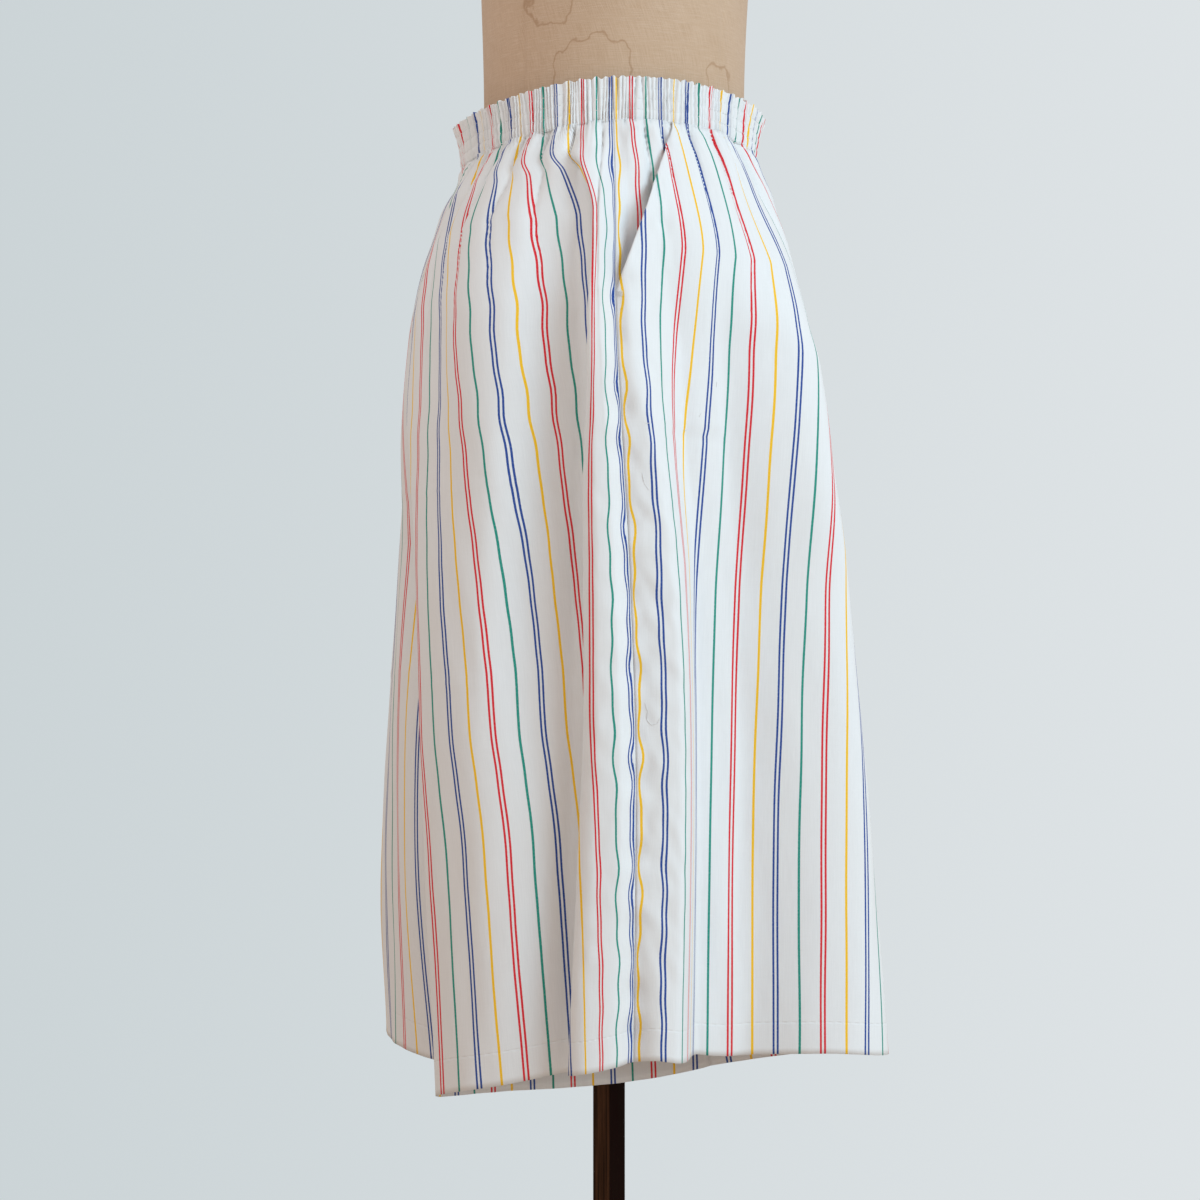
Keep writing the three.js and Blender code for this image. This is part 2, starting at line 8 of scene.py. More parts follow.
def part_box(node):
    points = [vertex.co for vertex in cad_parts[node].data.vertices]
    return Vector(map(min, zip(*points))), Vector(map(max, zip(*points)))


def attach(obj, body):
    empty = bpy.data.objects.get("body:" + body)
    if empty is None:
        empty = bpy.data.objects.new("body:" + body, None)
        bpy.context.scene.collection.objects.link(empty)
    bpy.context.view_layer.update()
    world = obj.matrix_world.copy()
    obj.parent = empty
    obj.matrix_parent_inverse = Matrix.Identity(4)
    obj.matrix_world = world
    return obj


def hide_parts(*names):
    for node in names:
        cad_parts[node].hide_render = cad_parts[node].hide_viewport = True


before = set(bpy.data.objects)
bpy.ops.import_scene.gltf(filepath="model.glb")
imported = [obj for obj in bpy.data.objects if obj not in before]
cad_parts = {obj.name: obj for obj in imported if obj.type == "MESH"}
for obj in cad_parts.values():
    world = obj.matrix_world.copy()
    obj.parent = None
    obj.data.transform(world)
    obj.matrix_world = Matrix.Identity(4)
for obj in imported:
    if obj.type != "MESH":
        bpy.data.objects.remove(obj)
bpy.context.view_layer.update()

# Striped cotton culotte shorts with a shirred elastic waist, worn by a limbless dress form on a pole stand.
# Cloth is worked out in millimetres: f is the distance forward (-Y), r the distance from the centre
# plane to the leg's own side, s the distance along a row's outline from the side seam, and q the
# distance along the cloth.
SCENE = bpy.context.scene
MM = 0.001
BETA = math.radians(10.5)  # the camera looks at the wearer's right side, from a little behind
TO_CAMERA = Vector((-math.cos(BETA), math.sin(BETA), 0.0))
TO_RIGHT = Vector((-math.sin(BETA), -math.cos(BETA), 0.0))

# ---- heights, from the frame ----
WAIST_TILT = 6.5  # the band is this much higher at the sides, lower at front and back
WAIST_DROP = 5.5  # and this much lower again at the back
BAND_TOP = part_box("waist_casing")[1][2] / MM - WAIST_TILT
BAND_LOW = BAND_TOP - 31.0
GROOVE = BAND_TOP - 165.0  # the legs start to part below this height
CROTCH = BAND_TOP - 320.0
HEM = BAND_TOP - 701.0
SEAM = 0.16  # visible gap at a seam
CLOTH = 0.55  # thickness of one layer
CROTCH_F = 20.0  # the inner walls meet this far forward at the crotch
INSEAM_F = 73.0  # and this far at the hem
SEAM_SHIFT = 21.5  # the line between the legs lies this far to the wearer's right
LEFT_NARROW = 18.0  # the left leg is narrower beside the pole
LEFT_RAISE = 12.0  # and its hem is this much higher at the back
MOUTH = 43.0  # from the side seam to the pocket's mouth, at the band
MOUTH_LOW = GROOVE + 8.0  # the mouth's lower end, on the seam
UNDERLAP = 24.0  # the facing goes on this far behind the panel
STRIPE = 16.8  # from one stripe to the next; four colours repeat


def table(names, *rows):
    """Rows with named columns."""
    names = names.split()
    return [dict(zip(names, row)) for row in rows]


# Outline of the cloth in plan: furthest forward and back, widest and where, how far out the leg's
# front and back corners are, how square the two halves of the outer side are, and where the side
# seam lies.
SECTIONS = table(
    "z front back wide apex frontR backR frontN backN seam",
    (1050, 115, -115, 118, 0, 0, 0, 2.0, 2.0, -19),
    (1019, 110, -111, 119, 0, 0, 0, 2.0, 2.0, -19),
    (985, 120, -124, 140, 0, 0, 0, 2.1, 2.1, -22),
    (940, 131, -139, 165, 0, 0, 0, 2.1, 2.1, -26),
    (885, 142, -151, 181, 0, 0, 0, 2.2, 2.1, -29),
    (800, 149, -156, 188, 0, 30, 40, 2.3, 1.8, -26),
    (700, 156, -156, 190, 0, 60, 80, 2.4, 1.6, -21),
    (550, 167, -153, 191, 0, 66, 100, 2.4, 1.5, -17),
    (349, 183, -144, 192, 0, 70, 103, 2.4, 1.5, -19),
)
INNER_N = dict(start=2.2, front_right=2.0, front_left=2.0, back_right=1.35, back_left=3.0)

# Laps: edge is the fold's place along the outline and cloth the same on the flat cloth. A length of
# cloth turns under there, by up to turn half circles.
LAPS = dict(
    back_right=table(
        "z edge cloth length turn",
        (1019, 30, 50, 16, 0.0),
        (1005, 27, 45, 16, 0.0),
        (985, 20, 36, 15, 0.5),
        (950, 12.7, 36, 19, 0.72),
        (850, 17, 39, 26, 0.78),
        (745, 25, 39, 37, 0.86),
        (610, 29, 38, 47, 0.95),
        (510, 33, 48, 51, 0.95),
        (349, 38, 66, 51, 0.95),
    ),
    back_left=table(
        "z edge cloth length turn",
        (1019, 60, 100, 20, 0.0),
        (985, 62, 80, 24, 0.1),
        (850, 70, 78, 34, 0.35),
        (560, 90, 98, 44, 0.62),
        (349, 98, 106, 44, 0.62),
    ),
)
LAP_SPREAD = 75.0

# Folds: each rises to its depth between rise0 and rise1 along the outline and dies away between
# fall0 and fall1. A depth below zero sinks inward.
FOLD_COLUMNS = "z depth rise0 rise1 fall0 fall1"
SIDE_FOLD = table(
    FOLD_COLUMNS,
    (1000, 0, 0, 40, 90, 150),
    (940, -10, 0, 45, 90, 150),
    (885, -26, 2, 52, 90, 150),
    (855, -33, 6, 60, 92, 160),
    (770, -42, 20, 62, 100, 175),
    (685, -50, 28, 66, 105, 195),
    (515, -57, 30, 66, 105, 195),
    (349, -59, 28, 66, 100, 195),
)
FRONT_RISE = table(
    FOLD_COLUMNS,
    (1000, 0, 120, 165, 165, 200),
    (885, 6, 130, 170, 170, 210),
    (855, 10, 135, 172, 172, 210),
    (685, 8, 150, 185, 185, 230),
    (349, 10, 170, 215, 215, 250),
)
BACK_RISE = table(
    FOLD_COLUMNS,
    (1000, 0, 60, 110, 110, 160),
    (870, 10, 60, 108, 108, 160),
    (685, 4, 60, 110, 110, 160),
    (349, 0, 60, 110, 110, 160),
)
LEFT_FRONT_FOLD = table(
    FOLD_COLUMNS,
    (960, 0, 10, 55, 80, 150),
    (800, -22, 14, 60, 90, 165),
    (600, -36, 20, 66, 100, 185),
    (349, -40, 24, 70, 100, 190),
)
LEFT_BACK_FOLD = table(
    FOLD_COLUMNS,
    (980, 0, 110, 150, 160, 220),
    (640, -8, 120, 170, 190, 260),
    (349, -9, 130, 180, 200, 280),
)
FOLDS = dict(
    front_right=[SIDE_FOLD, FRONT_RISE],
    back_right=[BACK_RISE],
    front_left=[LEFT_FRONT_FOLD],
    back_left=[LEFT_BACK_FOLD],
)

# The hollow beside each back lap: the cloth sinks from the lap's edge and rises again beyond it.
HOLLOWS = table(
    FOLD_COLUMNS,
    (985, 0, 16, 40, 44, 80),
    (940, -6, 16, 34, 42, 80),
    (855, -12, 16, 32, 44, 86),
    (745, -13, 18, 42, 62, 104),
    (685, -13, 20, 46, 72, 110),
    (515, -11, 26, 52, 62, 118),
    (349, -9, 30, 56, 60, 120),
)

# The left leg hangs this much further back.
LEFT_BACK = table("z back", (760, 0), (685, 5), (540, 15), (460, 20), (349, 23))

# The hem isn't level: its lift by the direction that the cloth faces, in degrees from the front to
# the leg's own side.
HEM_LIFT = table(
    "turn lift",
    (0, 7),
    (20, 9),
    (45, 15),
    (70, 12),
    (84, 16.5),
    (92, 22),
    (102, 20),
    (120, 12),
    (148, -2.5),
    (180, -14),
    (204, -17.5),
    (240, -22),
    (270, -14),
    (315, -3),
    (360, 7),
)

# Where the shirring pinches each panel, as distances on the flat cloth from the side seam.
PINCHES = dict(
    front_right=(0, 35, 54, 88, 121, 143, 175, 205, 235, 262, 300),
    front_left=(0, 22, 48, 79, 104, 140, 166, 190, 228, 259, 300),
    back_right=(0, 11.5, 46, 80, 115, 149, 180, 205, 250),
    back_left=(0, 18, 41, 84, 112, 150, 176, 214, 250),
)
# How much cloth lies on each millimetre of the outline at the band.
RATIO = dict(
    front=table("at ratio", (0, 1.59), (140, 1.59), (165, 1.0)),
    back=table("at ratio", (0, 1.7), (122, 1.7), (140, 0.72)),
)
RATIO_LOW = dict(front=925, back=955)  # below these heights no gathers are left


# ---- curves and tables ----
def smooth(t):
    c = np.clip(t, 0.0, 1.0)
    return c * c * (3 - 2 * c)


def lerp(a, b, t):
    return a + (b - a) * t


def clamp01(t):
    return min(max(t, 0.0), 1.0)


def bell(t):
    return np.exp(-(t ** 2))


def running(steps):
    """Sums of the steps so far, from zero."""
    return np.concatenate([[0], np.cumsum(steps)])


def side_of(name):
    """1 for the wearer's left and -1 for the right."""
    return 1 if name.endswith("left") else -1


def with_height(z, *values):
    """Rows of values, each with the height z as its last."""
    return np.stack([*values, np.full_like(values[0], z)], axis=-1)


def column(rows, name, z, by="z"):
    """One column's value at height z, along a smooth curve that doesn't overshoot the rows."""
    rows = sorted(rows, key=lambda row: row[by])
    heights = [row[by] for row in rows]
    value = [row[name] for row in rows]
    last = len(rows) - 1
    step = [heights[i + 1] - heights[i] for i in range(last)]
    slope = [(value[i + 1] - value[i]) / step[i] for i in range(last)]
    tangent = [slope[0]]
    for i in range(1, last):
        if slope[i - 1] * slope[i] <= 0:
            tangent.append(0.0)
            continue
        a = 2 * step[i] + step[i - 1]
        b = step[i] + 2 * step[i - 1]
        tangent.append((a + b) / (a / slope[i - 1] + b / slope[i]))
    tangent.append(slope[-1])
    z = min(max(z, heights[0]), heights[-1])
    k = 0
    while k < last - 1 and z > heights[k + 1]:
        k += 1
    h = step[k]
    t = (z - heights[k]) / h
    left = (1 + 2 * t) * (1 - t) ** 2 * value[k] + t * (1 - t) ** 2 * h * tangent[k]
    right = t * t * (3 - 2 * t) * value[k + 1] + t * t * (t - 1) * h * tangent[k + 1]
    return left + right


def waves(count, long, short, seed, stretch=4.0):
    """A soft random surface: a sum of sine waves with lengths from short to long, stretched down."""
    draw = np.random.default_rng(seed)
    across = 2 * math.pi / draw.uniform(short, long, count)
    down = 2 * math.pi / (draw.uniform(short, long, count) * stretch) * draw.choice((-1, 1), count)
    phase = draw.uniform(0, 2 * math.pi, count)

    def at(x, z):
        return sum(np.sin(a * x + d * z + p) for a, d, p in zip(across, down, phase)) / math.sqrt(count)

    return at


# ---- the cloth's outline ----
QUARTER_STEPS = 220
CHORD = 1.5  # normals are read from points this far to either side
ROW_POINTS = 760
LAP_STEPS = 120


def quarter(f, r, along_f, along_r, n):
    """A quarter of an oval with squareness n, and its angle."""
    p = np.linspace(0, math.pi / 2, QUARTER_STEPS + 1)
    return f + along_f * np.sin(p) ** (2 / n), r + along_r * np.maximum(np.cos(p), 0) ** (2 / n), p


def outline(z, name):
    """The outline of one panel in plan, from the side seam to its inner edge, without laps and folds."""
    key, side = name.split("_")
    left = side == "left"
    row = {c: column(SECTIONS, c, z) for c in SECTIONS[0] if c != "z"}
    wide = row["wide"] - (LEFT_NARROW * smooth((GROOVE - z) / 250) if left else 0)
    shift = SEAM_SHIFT * smooth((GROOVE - z) / 110)
    inner = (-shift if left else shift) + SEAM / 2
    corner = {k: max(row[k + "R"], inner) for k in ("front", "back")}

    def outer(k):
        span = (row[k] - row["apex"], wide - corner[k])
        f, r, p = quarter(row["apex"], corner[k], *span, row[k + "N"])
        return np.array([f, r, math.pi / 2 + (p if k == "back" else -p)])

    # The outer side is cut at the side seam, and the front panel takes what lies before it.
    back = outer("back")
    cut = int(np.argmax(back[0] <= row["seam"]))
    before, after = back[:, cut - 1], back[:, cut]
    seam = lerp(before, after, (before[0] - row["seam"]) / (before[0] - after[0]))
    df, dr = (after - before)[:2] / math.hypot(*(after - before)[:2])
    if key == "front":
        f, r, phi = np.column_stack([seam, back[:, cut - 1:0:-1], outer("front")])
    else:
        f, r, phi = np.column_stack([seam, back[:, cut:]])
    edge = len(f) - 1
    if z < GROOVE:
        # The inner wall is a quarter too. Above the crotch it is cut off where it meets the crotch seam.
        reach = clamp01((GROOVE - z) / (GROOVE - CROTCH))
        end = lerp(CROTCH_F, INSEAM_F, clamp01((CROTCH - z) / (CROTCH - HEM)))
        n = lerp(INNER_N["start"], INNER_N[name], smooth((GROOVE - z) / 300))
        turn, start = (-1, 0) if key == "front" else (1, math.pi)
        p = math.asin(reach) * np.linspace(0, 1, QUARTER_STEPS + 1)[1:]
        f = np.concatenate([f, end + (row[key] - end) * np.maximum(np.cos(p), 0) ** (2 / n)])
        r = np.concatenate([r, corner[key] - (corner[key] - inner) * (np.sin(p) / reach) ** (2 / n)])
        phi = np.concatenate([phi, start + turn * p])
    if left:
        f = f - column(LEFT_BACK, "back", z)
    along = running(np.hypot(np.diff(f), np.diff(r)))
    return dict(f=f, r=r, phi=phi, along=along, length=along[-1], corner=along[edge],
                sign=1 if key == "front" else -1, seam_normal=(dr, -df))


TURNS = np.arange(361)
HEM_CURVE = np.array([column(HEM_LIFT, "lift", turn, "turn") for turn in TURNS])


def lift(z, phi, left):
    """How far a point stands above its row's height: the band and the hem aren't level."""
    t = np.clip((BAND_TOP - z) / (BAND_TOP - HEM), 0, 1)
    waist = (-WAIST_TILT * np.cos(2 * phi) - WAIST_DROP * np.maximum(-np.cos(phi), 0) ** 2) * (1 - t) ** 3
    hem = np.interp(np.degrees(phi) % 360, TURNS, HEM_CURVE) + left * LEFT_RAISE * (1 - np.cos(phi)) / 2
    return waist + hem * t * t


def on_outline(base, s):
    """Places and outward normals at distances along an outline."""

    def read(k, at):
        return np.interp(at, base["along"], base[k])

    a = np.clip(s - CHORD, 0, base["length"])
    b = np.clip(s + CHORD, 0, base["length"])
    df = read("f", b) - read("f", a)
    dr = read("r", b) - read("r", a)
    size = np.maximum(np.hypot(df, dr), 1e-9)
    near = smooth(s / 6)
    nf = lerp(base["seam_normal"][0], -base["sign"] * dr / size, near)
    nr = lerp(base["seam_normal"][1], base["sign"] * df / size, near)
    return read("f", s), read("r", s), read("phi", s), nf, nr


def lap_at(name, z):
    """The lap at a height: by shares of its length, how far the cloth has gone along and inward."""
    if name not in LAPS:
        return None
    lap = {k: column(LAPS[name], k, z) for k in ("edge", "cloth", "length", "turn")}
    t = (np.arange(LAP_STEPS) + 0.5) / LAP_STEPS
    turned = math.pi * lap["turn"] * smooth(t / 0.34) * smooth((1 - t) / 0.34)
    lap["along"] = running(np.cos(turned)) * lap["length"] / LAP_STEPS
    lap["inward"] = running(np.sin(turned)) * lap["length"] / LAP_STEPS
    lap["hidden"] = lap["length"] - lap["along"][-1]
    lap["depth"] = lap["inward"][-1]
    return lap


def fold(rows, z, s):
    """How far one fold stands out along a row."""
    at = {k: column(rows, k, z) for k in FOLD_COLUMNS.split()[1:]}
    up = smooth((s - at["rise0"]) / (at["rise1"] - at["rise0"]))
    down = smooth((s - at["fall0"]) / (at["fall1"] - at["fall0"]))
    return at["depth"] * up * (1 - down)


# Depths of the side seam's groove: on the leg, at the hem and beside the pocket.
VALLEY = dict(leg=1.8, hem=6.0, pocket=3.0)


def seam_valley(z, s):
    """The side seam lies in a shallow groove, deepest near the hem, and puckers along its length."""
    depth = VALLEY["leg"] * smooth((GROOVE - z) / 120) + VALLEY["hem"] * smooth((480 - z) / 130)
    depth = (depth + VALLEY["pocket"] * smooth((z - 830) / 60)) * smooth((BAND_LOW - z) / 26)
    calm = smooth((GROOVE + 20 - z) / 60)
    pucker = 1.1 * math.sin(z / 7.4 + 1.6 * math.sin(z / 31.0)) + 0.7 * math.sin(z / 4.1 + 2.0)
    return -depth * bell(s / 11.0) + pucker * (0.35 + 0.65 * calm) * bell(s / 8.0)


def billows(name, z, flat):
    """Rounded billows between the pinches of the shirring, which die away downward."""
    pinches = np.array(PINCHES[name], float)
    k = np.clip(np.searchsorted(pinches, flat, side="right") - 1, 0, len(pinches) - 2)
    width = pinches[k + 1] - pinches[k]
    x = np.clip((flat - pinches[k]) / width, 0, 1)
    below = BAND_LOW - z
    rise = smooth((below + 2.5) / 11)
    fade = np.exp(-np.maximum(below - 8, 0) / (1.1 * width + 14))
    round_top = np.sin(math.pi * x) ** 0.36
    return (0.23 * width + 2.4) * (round_top - 0.72) * rise * fade


PLEAT = 5.0  # one pleat of the shirring, on the flat cloth
PLEAT_DRIFT = waves(7, 52.0, 20.0, 21, 5.0)
PLEAT_SIZE = waves(7, 34.0, 10.0, 22, 4.0)
WRINKLE = waves(14, 70.0, 24.0, 5)
DRIFT = waves(6, 160.0, 80.0, 11)
CRUMPLE = waves(24, 44.0, 12.0, 17, 1.3)
POCKET_BAG = 794.0  # height of the pocket bag's lower edge behind the front panel
CREASES = (766.0, 630.0)  # heights of the creases from folding, on the backs
# Heights of the small unevenness.
UNDER_BAND, ON_CASING = 2.2, 2.5  # pleats
DRIFT_HIGH = 0.9
CREASE_HIGH = 0.35
CRUMPLE_HIGH = dict(front=0.55, back=0.25)
BAG_STEP, BAG_DIP = 0.9, 0.8  # over the pocket bag's lower edge


def place_in_noise(name):
    """Each panel reads its own part of the random surfaces."""
    return 37.0 * len(name) + (500.0 if name.startswith("front") else 0.0)


def pleats(name, z, flat):
    """Fine upright pleats from the shirring, with narrow valleys between them."""
    x = flat + place_in_noise(name)
    size = 1.0 + 0.42 * PLEAT_SIZE(x, z)
    return size * (np.abs(np.sin(math.pi * (x / PLEAT + 0.5 * PLEAT_DRIFT(x, z)))) ** 0.55 - 0.7)


def detail(name, z, flat, s):
    """Unevenness: pleats, wrinkles, the backs' hollows and creases, the pocket bag's edge."""
    key = name.split("_")[0]
    x = flat + place_in_noise(name)
    out = UNDER_BAND * pleats(name, z, flat) * np.exp(-np.maximum(BAND_LOW - z, 0) / 12)
    calm = 0.35 + 0.5 * math.exp(-(BAND_LOW - z) / 90)
    out = out + calm * WRINKLE(x, z) + DRIFT_HIGH * DRIFT(x, z)
    near = smooth(s / 5) * (1 - smooth((s - 34) / 16)) * smooth((z - 380) / 60)
    out = out + CRUMPLE_HIGH[key] * near * CRUMPLE(x, z)
    if key == "front":
        above = z - POCKET_BAG - 3.0 * np.sin(flat / 40.0)
        behind = smooth(s / 8) * (1 - smooth((s - 92) / 14))
        return out + behind * (BAG_STEP * smooth(above / 3.5) - BAG_DIP * bell(above / 2.6))
    out = out + fold(HOLLOWS, z, s)
    for crease in CREASES:
        level = z - crease - 2.5 * np.sin(flat / 33.0)
        out = out + CREASE_HIGH * bell(level / 2.2) * smooth((s - 55) / 20)
    return out


def gathering(key, s):
    """How much cloth lies on each millimetre of the outline at the band."""
    rows = RATIO[key]
    return np.interp(s, [row["at"] for row in rows], [row["ratio"] for row in rows])


def cloth_row(name, z, end=None):
    """One row of a panel, finely: distances q, places, normals and the flat cloth's coordinate."""
    key = name.split("_")[0]
    base = outline(z, name)
    lap = lap_at(name, z) if end is None else None
    extra = lap["hidden"] if lap else 0.0
    total = end if end is not None else base["length"] + extra - SEAM / 2
    q = np.linspace(SEAM / 2, total, ROW_POINTS)
    s = q.copy()
    out = np.zeros_like(q)
    if lap:
        edge, length = lap["edge"], lap["length"]
        share = np.clip((q - edge) / length, 0, 1)
        grid = np.linspace(0, 1, len(lap["along"]))
        inside = (q >= edge) & (q < edge + length)
        after = q >= edge + length
        s = np.where(inside, edge + np.interp(share, grid, lap["along"]), s)
        s = np.where(after, q - extra, s)
        over = 1 - smooth((edge - q) / LAP_SPREAD)
        under = 1 - smooth((q - edge - length) / LAP_SPREAD)
        out += np.where(q < edge, lap["depth"] / 2 * over, 0)
        out += np.where(inside, lap["depth"] / 2 - np.interp(share, grid, lap["inward"]), 0)
        out -= np.where(after, lap["depth"] / 2 * under, 0)
    share = clamp01((z - RATIO_LOW[key]) / (BAND_LOW - RATIO_LOW[key]))
    gather = 1 + (gathering(key, s) - 1) * share ** 1.35
    step = np.gradient(q)
    loose = running((gather * step)[1:])
    fading = smooth((base["length"] + extra - q) / 25) * smooth(q / 11)
    out = (out + sum(fold(rows, z, s) for rows in FOLDS[name])) * fading
    f, r, phi, nf, nr = on_outline(base, s)
    true = np.hypot(np.gradient(f + nf * out), np.gradient(r + nr * out))
    out += (billows(name, z, loose) + detail(name, z, loose, s)) * fading + seam_valley(z, s)
    f = f + nf * out
    r = r + nr * out
    dens = lerp(step * gather, true, smooth((930 - z) / 120))
    flat = running((dens[1:] + dens[:-1]) / 2) + SEAM / 2
    # Stripes near the puckered side seam waver.
    waver = math.sin(z / 10.5 + 1.8 * math.sin(z / 43.0)) + 0.6 * math.sin(z / 5.1)
    flat = flat + 1.3 * waver * smooth(s / 3) * bell(s / 20.0)
    if lap and name == "back_right":
        at_edge = np.interp(lap["edge"], q, flat)
        flat = np.where(q < lap["edge"], flat * lap["cloth"] / at_edge, flat - at_edge + lap["cloth"])
    high = z + lift(z, phi, name.endswith("left"))
    bend = min(base["corner"] + extra, total - 60)
    return dict(q=q, f=f, r=r, z=high, nf=nf, nr=nr, flat=flat, lap=lap, bend=bend, total=total)


def read_at(row, q):
    """A row's places, normals and flat coordinate at some distances along the cloth."""
    return {k: np.interp(q, row["q"], row[k]) for k in ("f", "r", "z", "nf", "nr", "flat")}


def placed(x, at, out):
    """Points that stand out from a row, on the side x of the centre plane."""
    return np.stack([x * (at["r"] + at["nr"] * out), -at["f"] - at["nf"] * out, at["z"]], axis=-1)


# ---- meshes ----
def new_object(name, mesh, material):
    mesh.materials.append(material)
    obj = bpy.data.objects.new(name, mesh)
    SCENE.collection.objects.link(obj)
    return obj


def cells(index):
    """The four corners of each cell in a grid of indices."""
    return np.stack([index[:-1, :-1], index[1:, :-1], index[1:, 1:], index[:-1, 1:]], axis=-1)


def grid_object(name, points, uv, material, closed=False):
    """A sheet through rows of points in millimetres, with the flat cloth's coordinates as its UV."""
    points, uv = np.array(points), np.array(uv)
    down, across = points.shape[:2]
    mesh = bpy.data.meshes.new(name)
    index = np.arange(down * across).reshape(down, across)
    if closed:
        index = np.concatenate([index, index[:, :1]], axis=1)
    quads = cells(index).reshape(-1, 4)
    mesh.from_pydata((points.reshape(-1, 3) * MM).tolist(), [], quads.tolist())
    layer = mesh.uv_layers.new(name="Cloth")
    if closed:
        uv = np.concatenate([uv, uv[:, -1:] + (uv[:, -1:] - uv[:, -2:-1])], axis=1)
    flat = uv.reshape(-1, 2)
    wide = across + int(closed)
    corners = cells(np.arange(down * wide).reshape(down, wide)).reshape(-1)
    layer.data.foreach_set("uv", (flat[corners] * MM).astype(np.float32).ravel())
    mesh.polygons.foreach_set("use_smooth", [True] * len(mesh.polygons))
    mesh.update()
    # The faces point away from the part's axis.
    if sum(p.normal.x * p.center.x + p.normal.y * p.center.y for p in mesh.polygons) < 0:
        mesh.flip_normals()
    return new_object(name, mesh, material)


def thicken(obj):
    """Gives a sheet the cloth's thickness, inward."""
    solid = obj.modifiers.new("Thickness", "SOLIDIFY")
    solid.thickness = CLOTH * MM
    solid.offset = -1.0
    solid.use_even_offset = True
    return obj


def stops_between(knots, counts):
    """Evenly spaced distances between each two knots."""
    parts = [np.linspace(a, b, n + 1)[:-1] for a, b, n in zip(knots[:-1], knots[1:], counts)]
    return np.concatenate(parts + [[knots[-1]]])


def row_heights():
    """Heights of a panel's rows, closer together just above the crotch."""
    upper = np.linspace(BAND_LOW + 1.6, GROOVE, 52)
    curve = GROOVE - (GROOVE - CROTCH) * np.sin(np.linspace(0, math.pi / 2, 40))[1:]
    leg = np.linspace(CROTCH, HEM, 84)[1:]
    return np.concatenate([upper, curve, leg])


def mouth_at(z):
    """Distance of the pocket's mouth from the side seam."""
    return MOUTH * clamp01((z - MOUTH_LOW) / (BAND_LOW - MOUTH_LOW))


STRIPE_START = dict(front=-0.2 * STRIPE, back=0.8 * STRIPE)
GAPE, GAPE_LOW = 1.3, 4.6  # the mouth stands off by this, and by so much more low down
TUCK = 0.7  # the panels' top edges lie this far behind the casing
TUCK_HIGH = 4.0


def panel(name, material):
    key = name.split("_")[0]
    points, uv = [], []
    for z in row_heights():
        row = cloth_row(name, z)
        start = SEAM / 2 + (mouth_at(z) if key == "front" else 0)
        if row["lap"]:
            edge, length = row["lap"]["edge"], row["lap"]["length"]
            knots = [start, edge, edge + length, row["bend"], row["total"]]
            stops = stops_between(knots, [26, 44, 64, 56])
        else:
            stops = stops_between([start, row["bend"], row["total"]], [130, 56])
        at = read_at(row, stops)
        out = np.full_like(stops, -TUCK * smooth((z - BAND_LOW + TUCK_HIGH) / TUCK_HIGH))
        if key == "front" and z > MOUTH_LOW:
            # The mouth's folded edge stands off the facing, most in its lower half.
            low = 1 - smooth((z - MOUTH_LOW - 58) / 40)
            gape = smooth((z - MOUTH_LOW) / 16) * (GAPE + GAPE_LOW * low)
            out += gape * bell((stops - start) / 9.0)
            out -= 0.5 * np.exp(-((stops - start) / 1.2))
        points.append(placed(side_of(name), at, out))
        uv.append(with_height(z, at["flat"] + STRIPE_START[key]))
    return grid_object(name, points, uv, material)


def pocket_facing(side, material):
    """The facing behind the mouth: it sinks from the side seam inward, deepest low down."""
    name = "front_" + side
    points, uv = [], []
    for z in np.linspace(BAND_LOW + 1.6, MOUTH_LOW - 6, 56):
        row = cloth_row(name, z, end=mouth_at(z) + UNDERLAP)
        stops = np.linspace(SEAM / 2, row["total"], 50)
        at = read_at(row, stops)
        low = smooth((z - MOUTH_LOW) / 14) * (1 - smooth((z - MOUTH_LOW - 62) / 34))
        sunk = 2.4 * smooth((stops - 1.0) / 9) * smooth((BAND_LOW - z) / 24)
        sunk = sunk + 0.9 * smooth((stops - mouth_at(z) + 8) / 8)
        sunk = sunk + 2.4 * smooth((stops - 4.0) / 14) * smooth((BAND_LOW - z) / 50)
        sunk = sunk + 4.6 * smooth(stops / 11) * low
        sunk = sunk + TUCK * smooth((z - BAND_LOW + TUCK_HIGH) / TUCK_HIGH)
        points.append(placed(side_of(name), at, -sunk))
        uv.append(with_height(z, -at["flat"] - STRIPE_START["front"]))
    return grid_object("pocket_facing_" + side, points, uv, material)


# ---- waist casing ----
STITCH_ROWS = (7.0, 15.0, 22.5, 30.0)  # below the top edge
CASING_WIDE = waves(5, 24.0, 11.0, 24)
FRILL = waves(7, 12.0, 5.0, 23)
CASING_WALL = 2.4
CASING_POINTS = 400  # along each panel's part of the casing
AROUND = ("front_right", "back_right", "back_left", "front_left")
BACKWARDS = ("front_right", "back_left")  # their outlines run against the way round


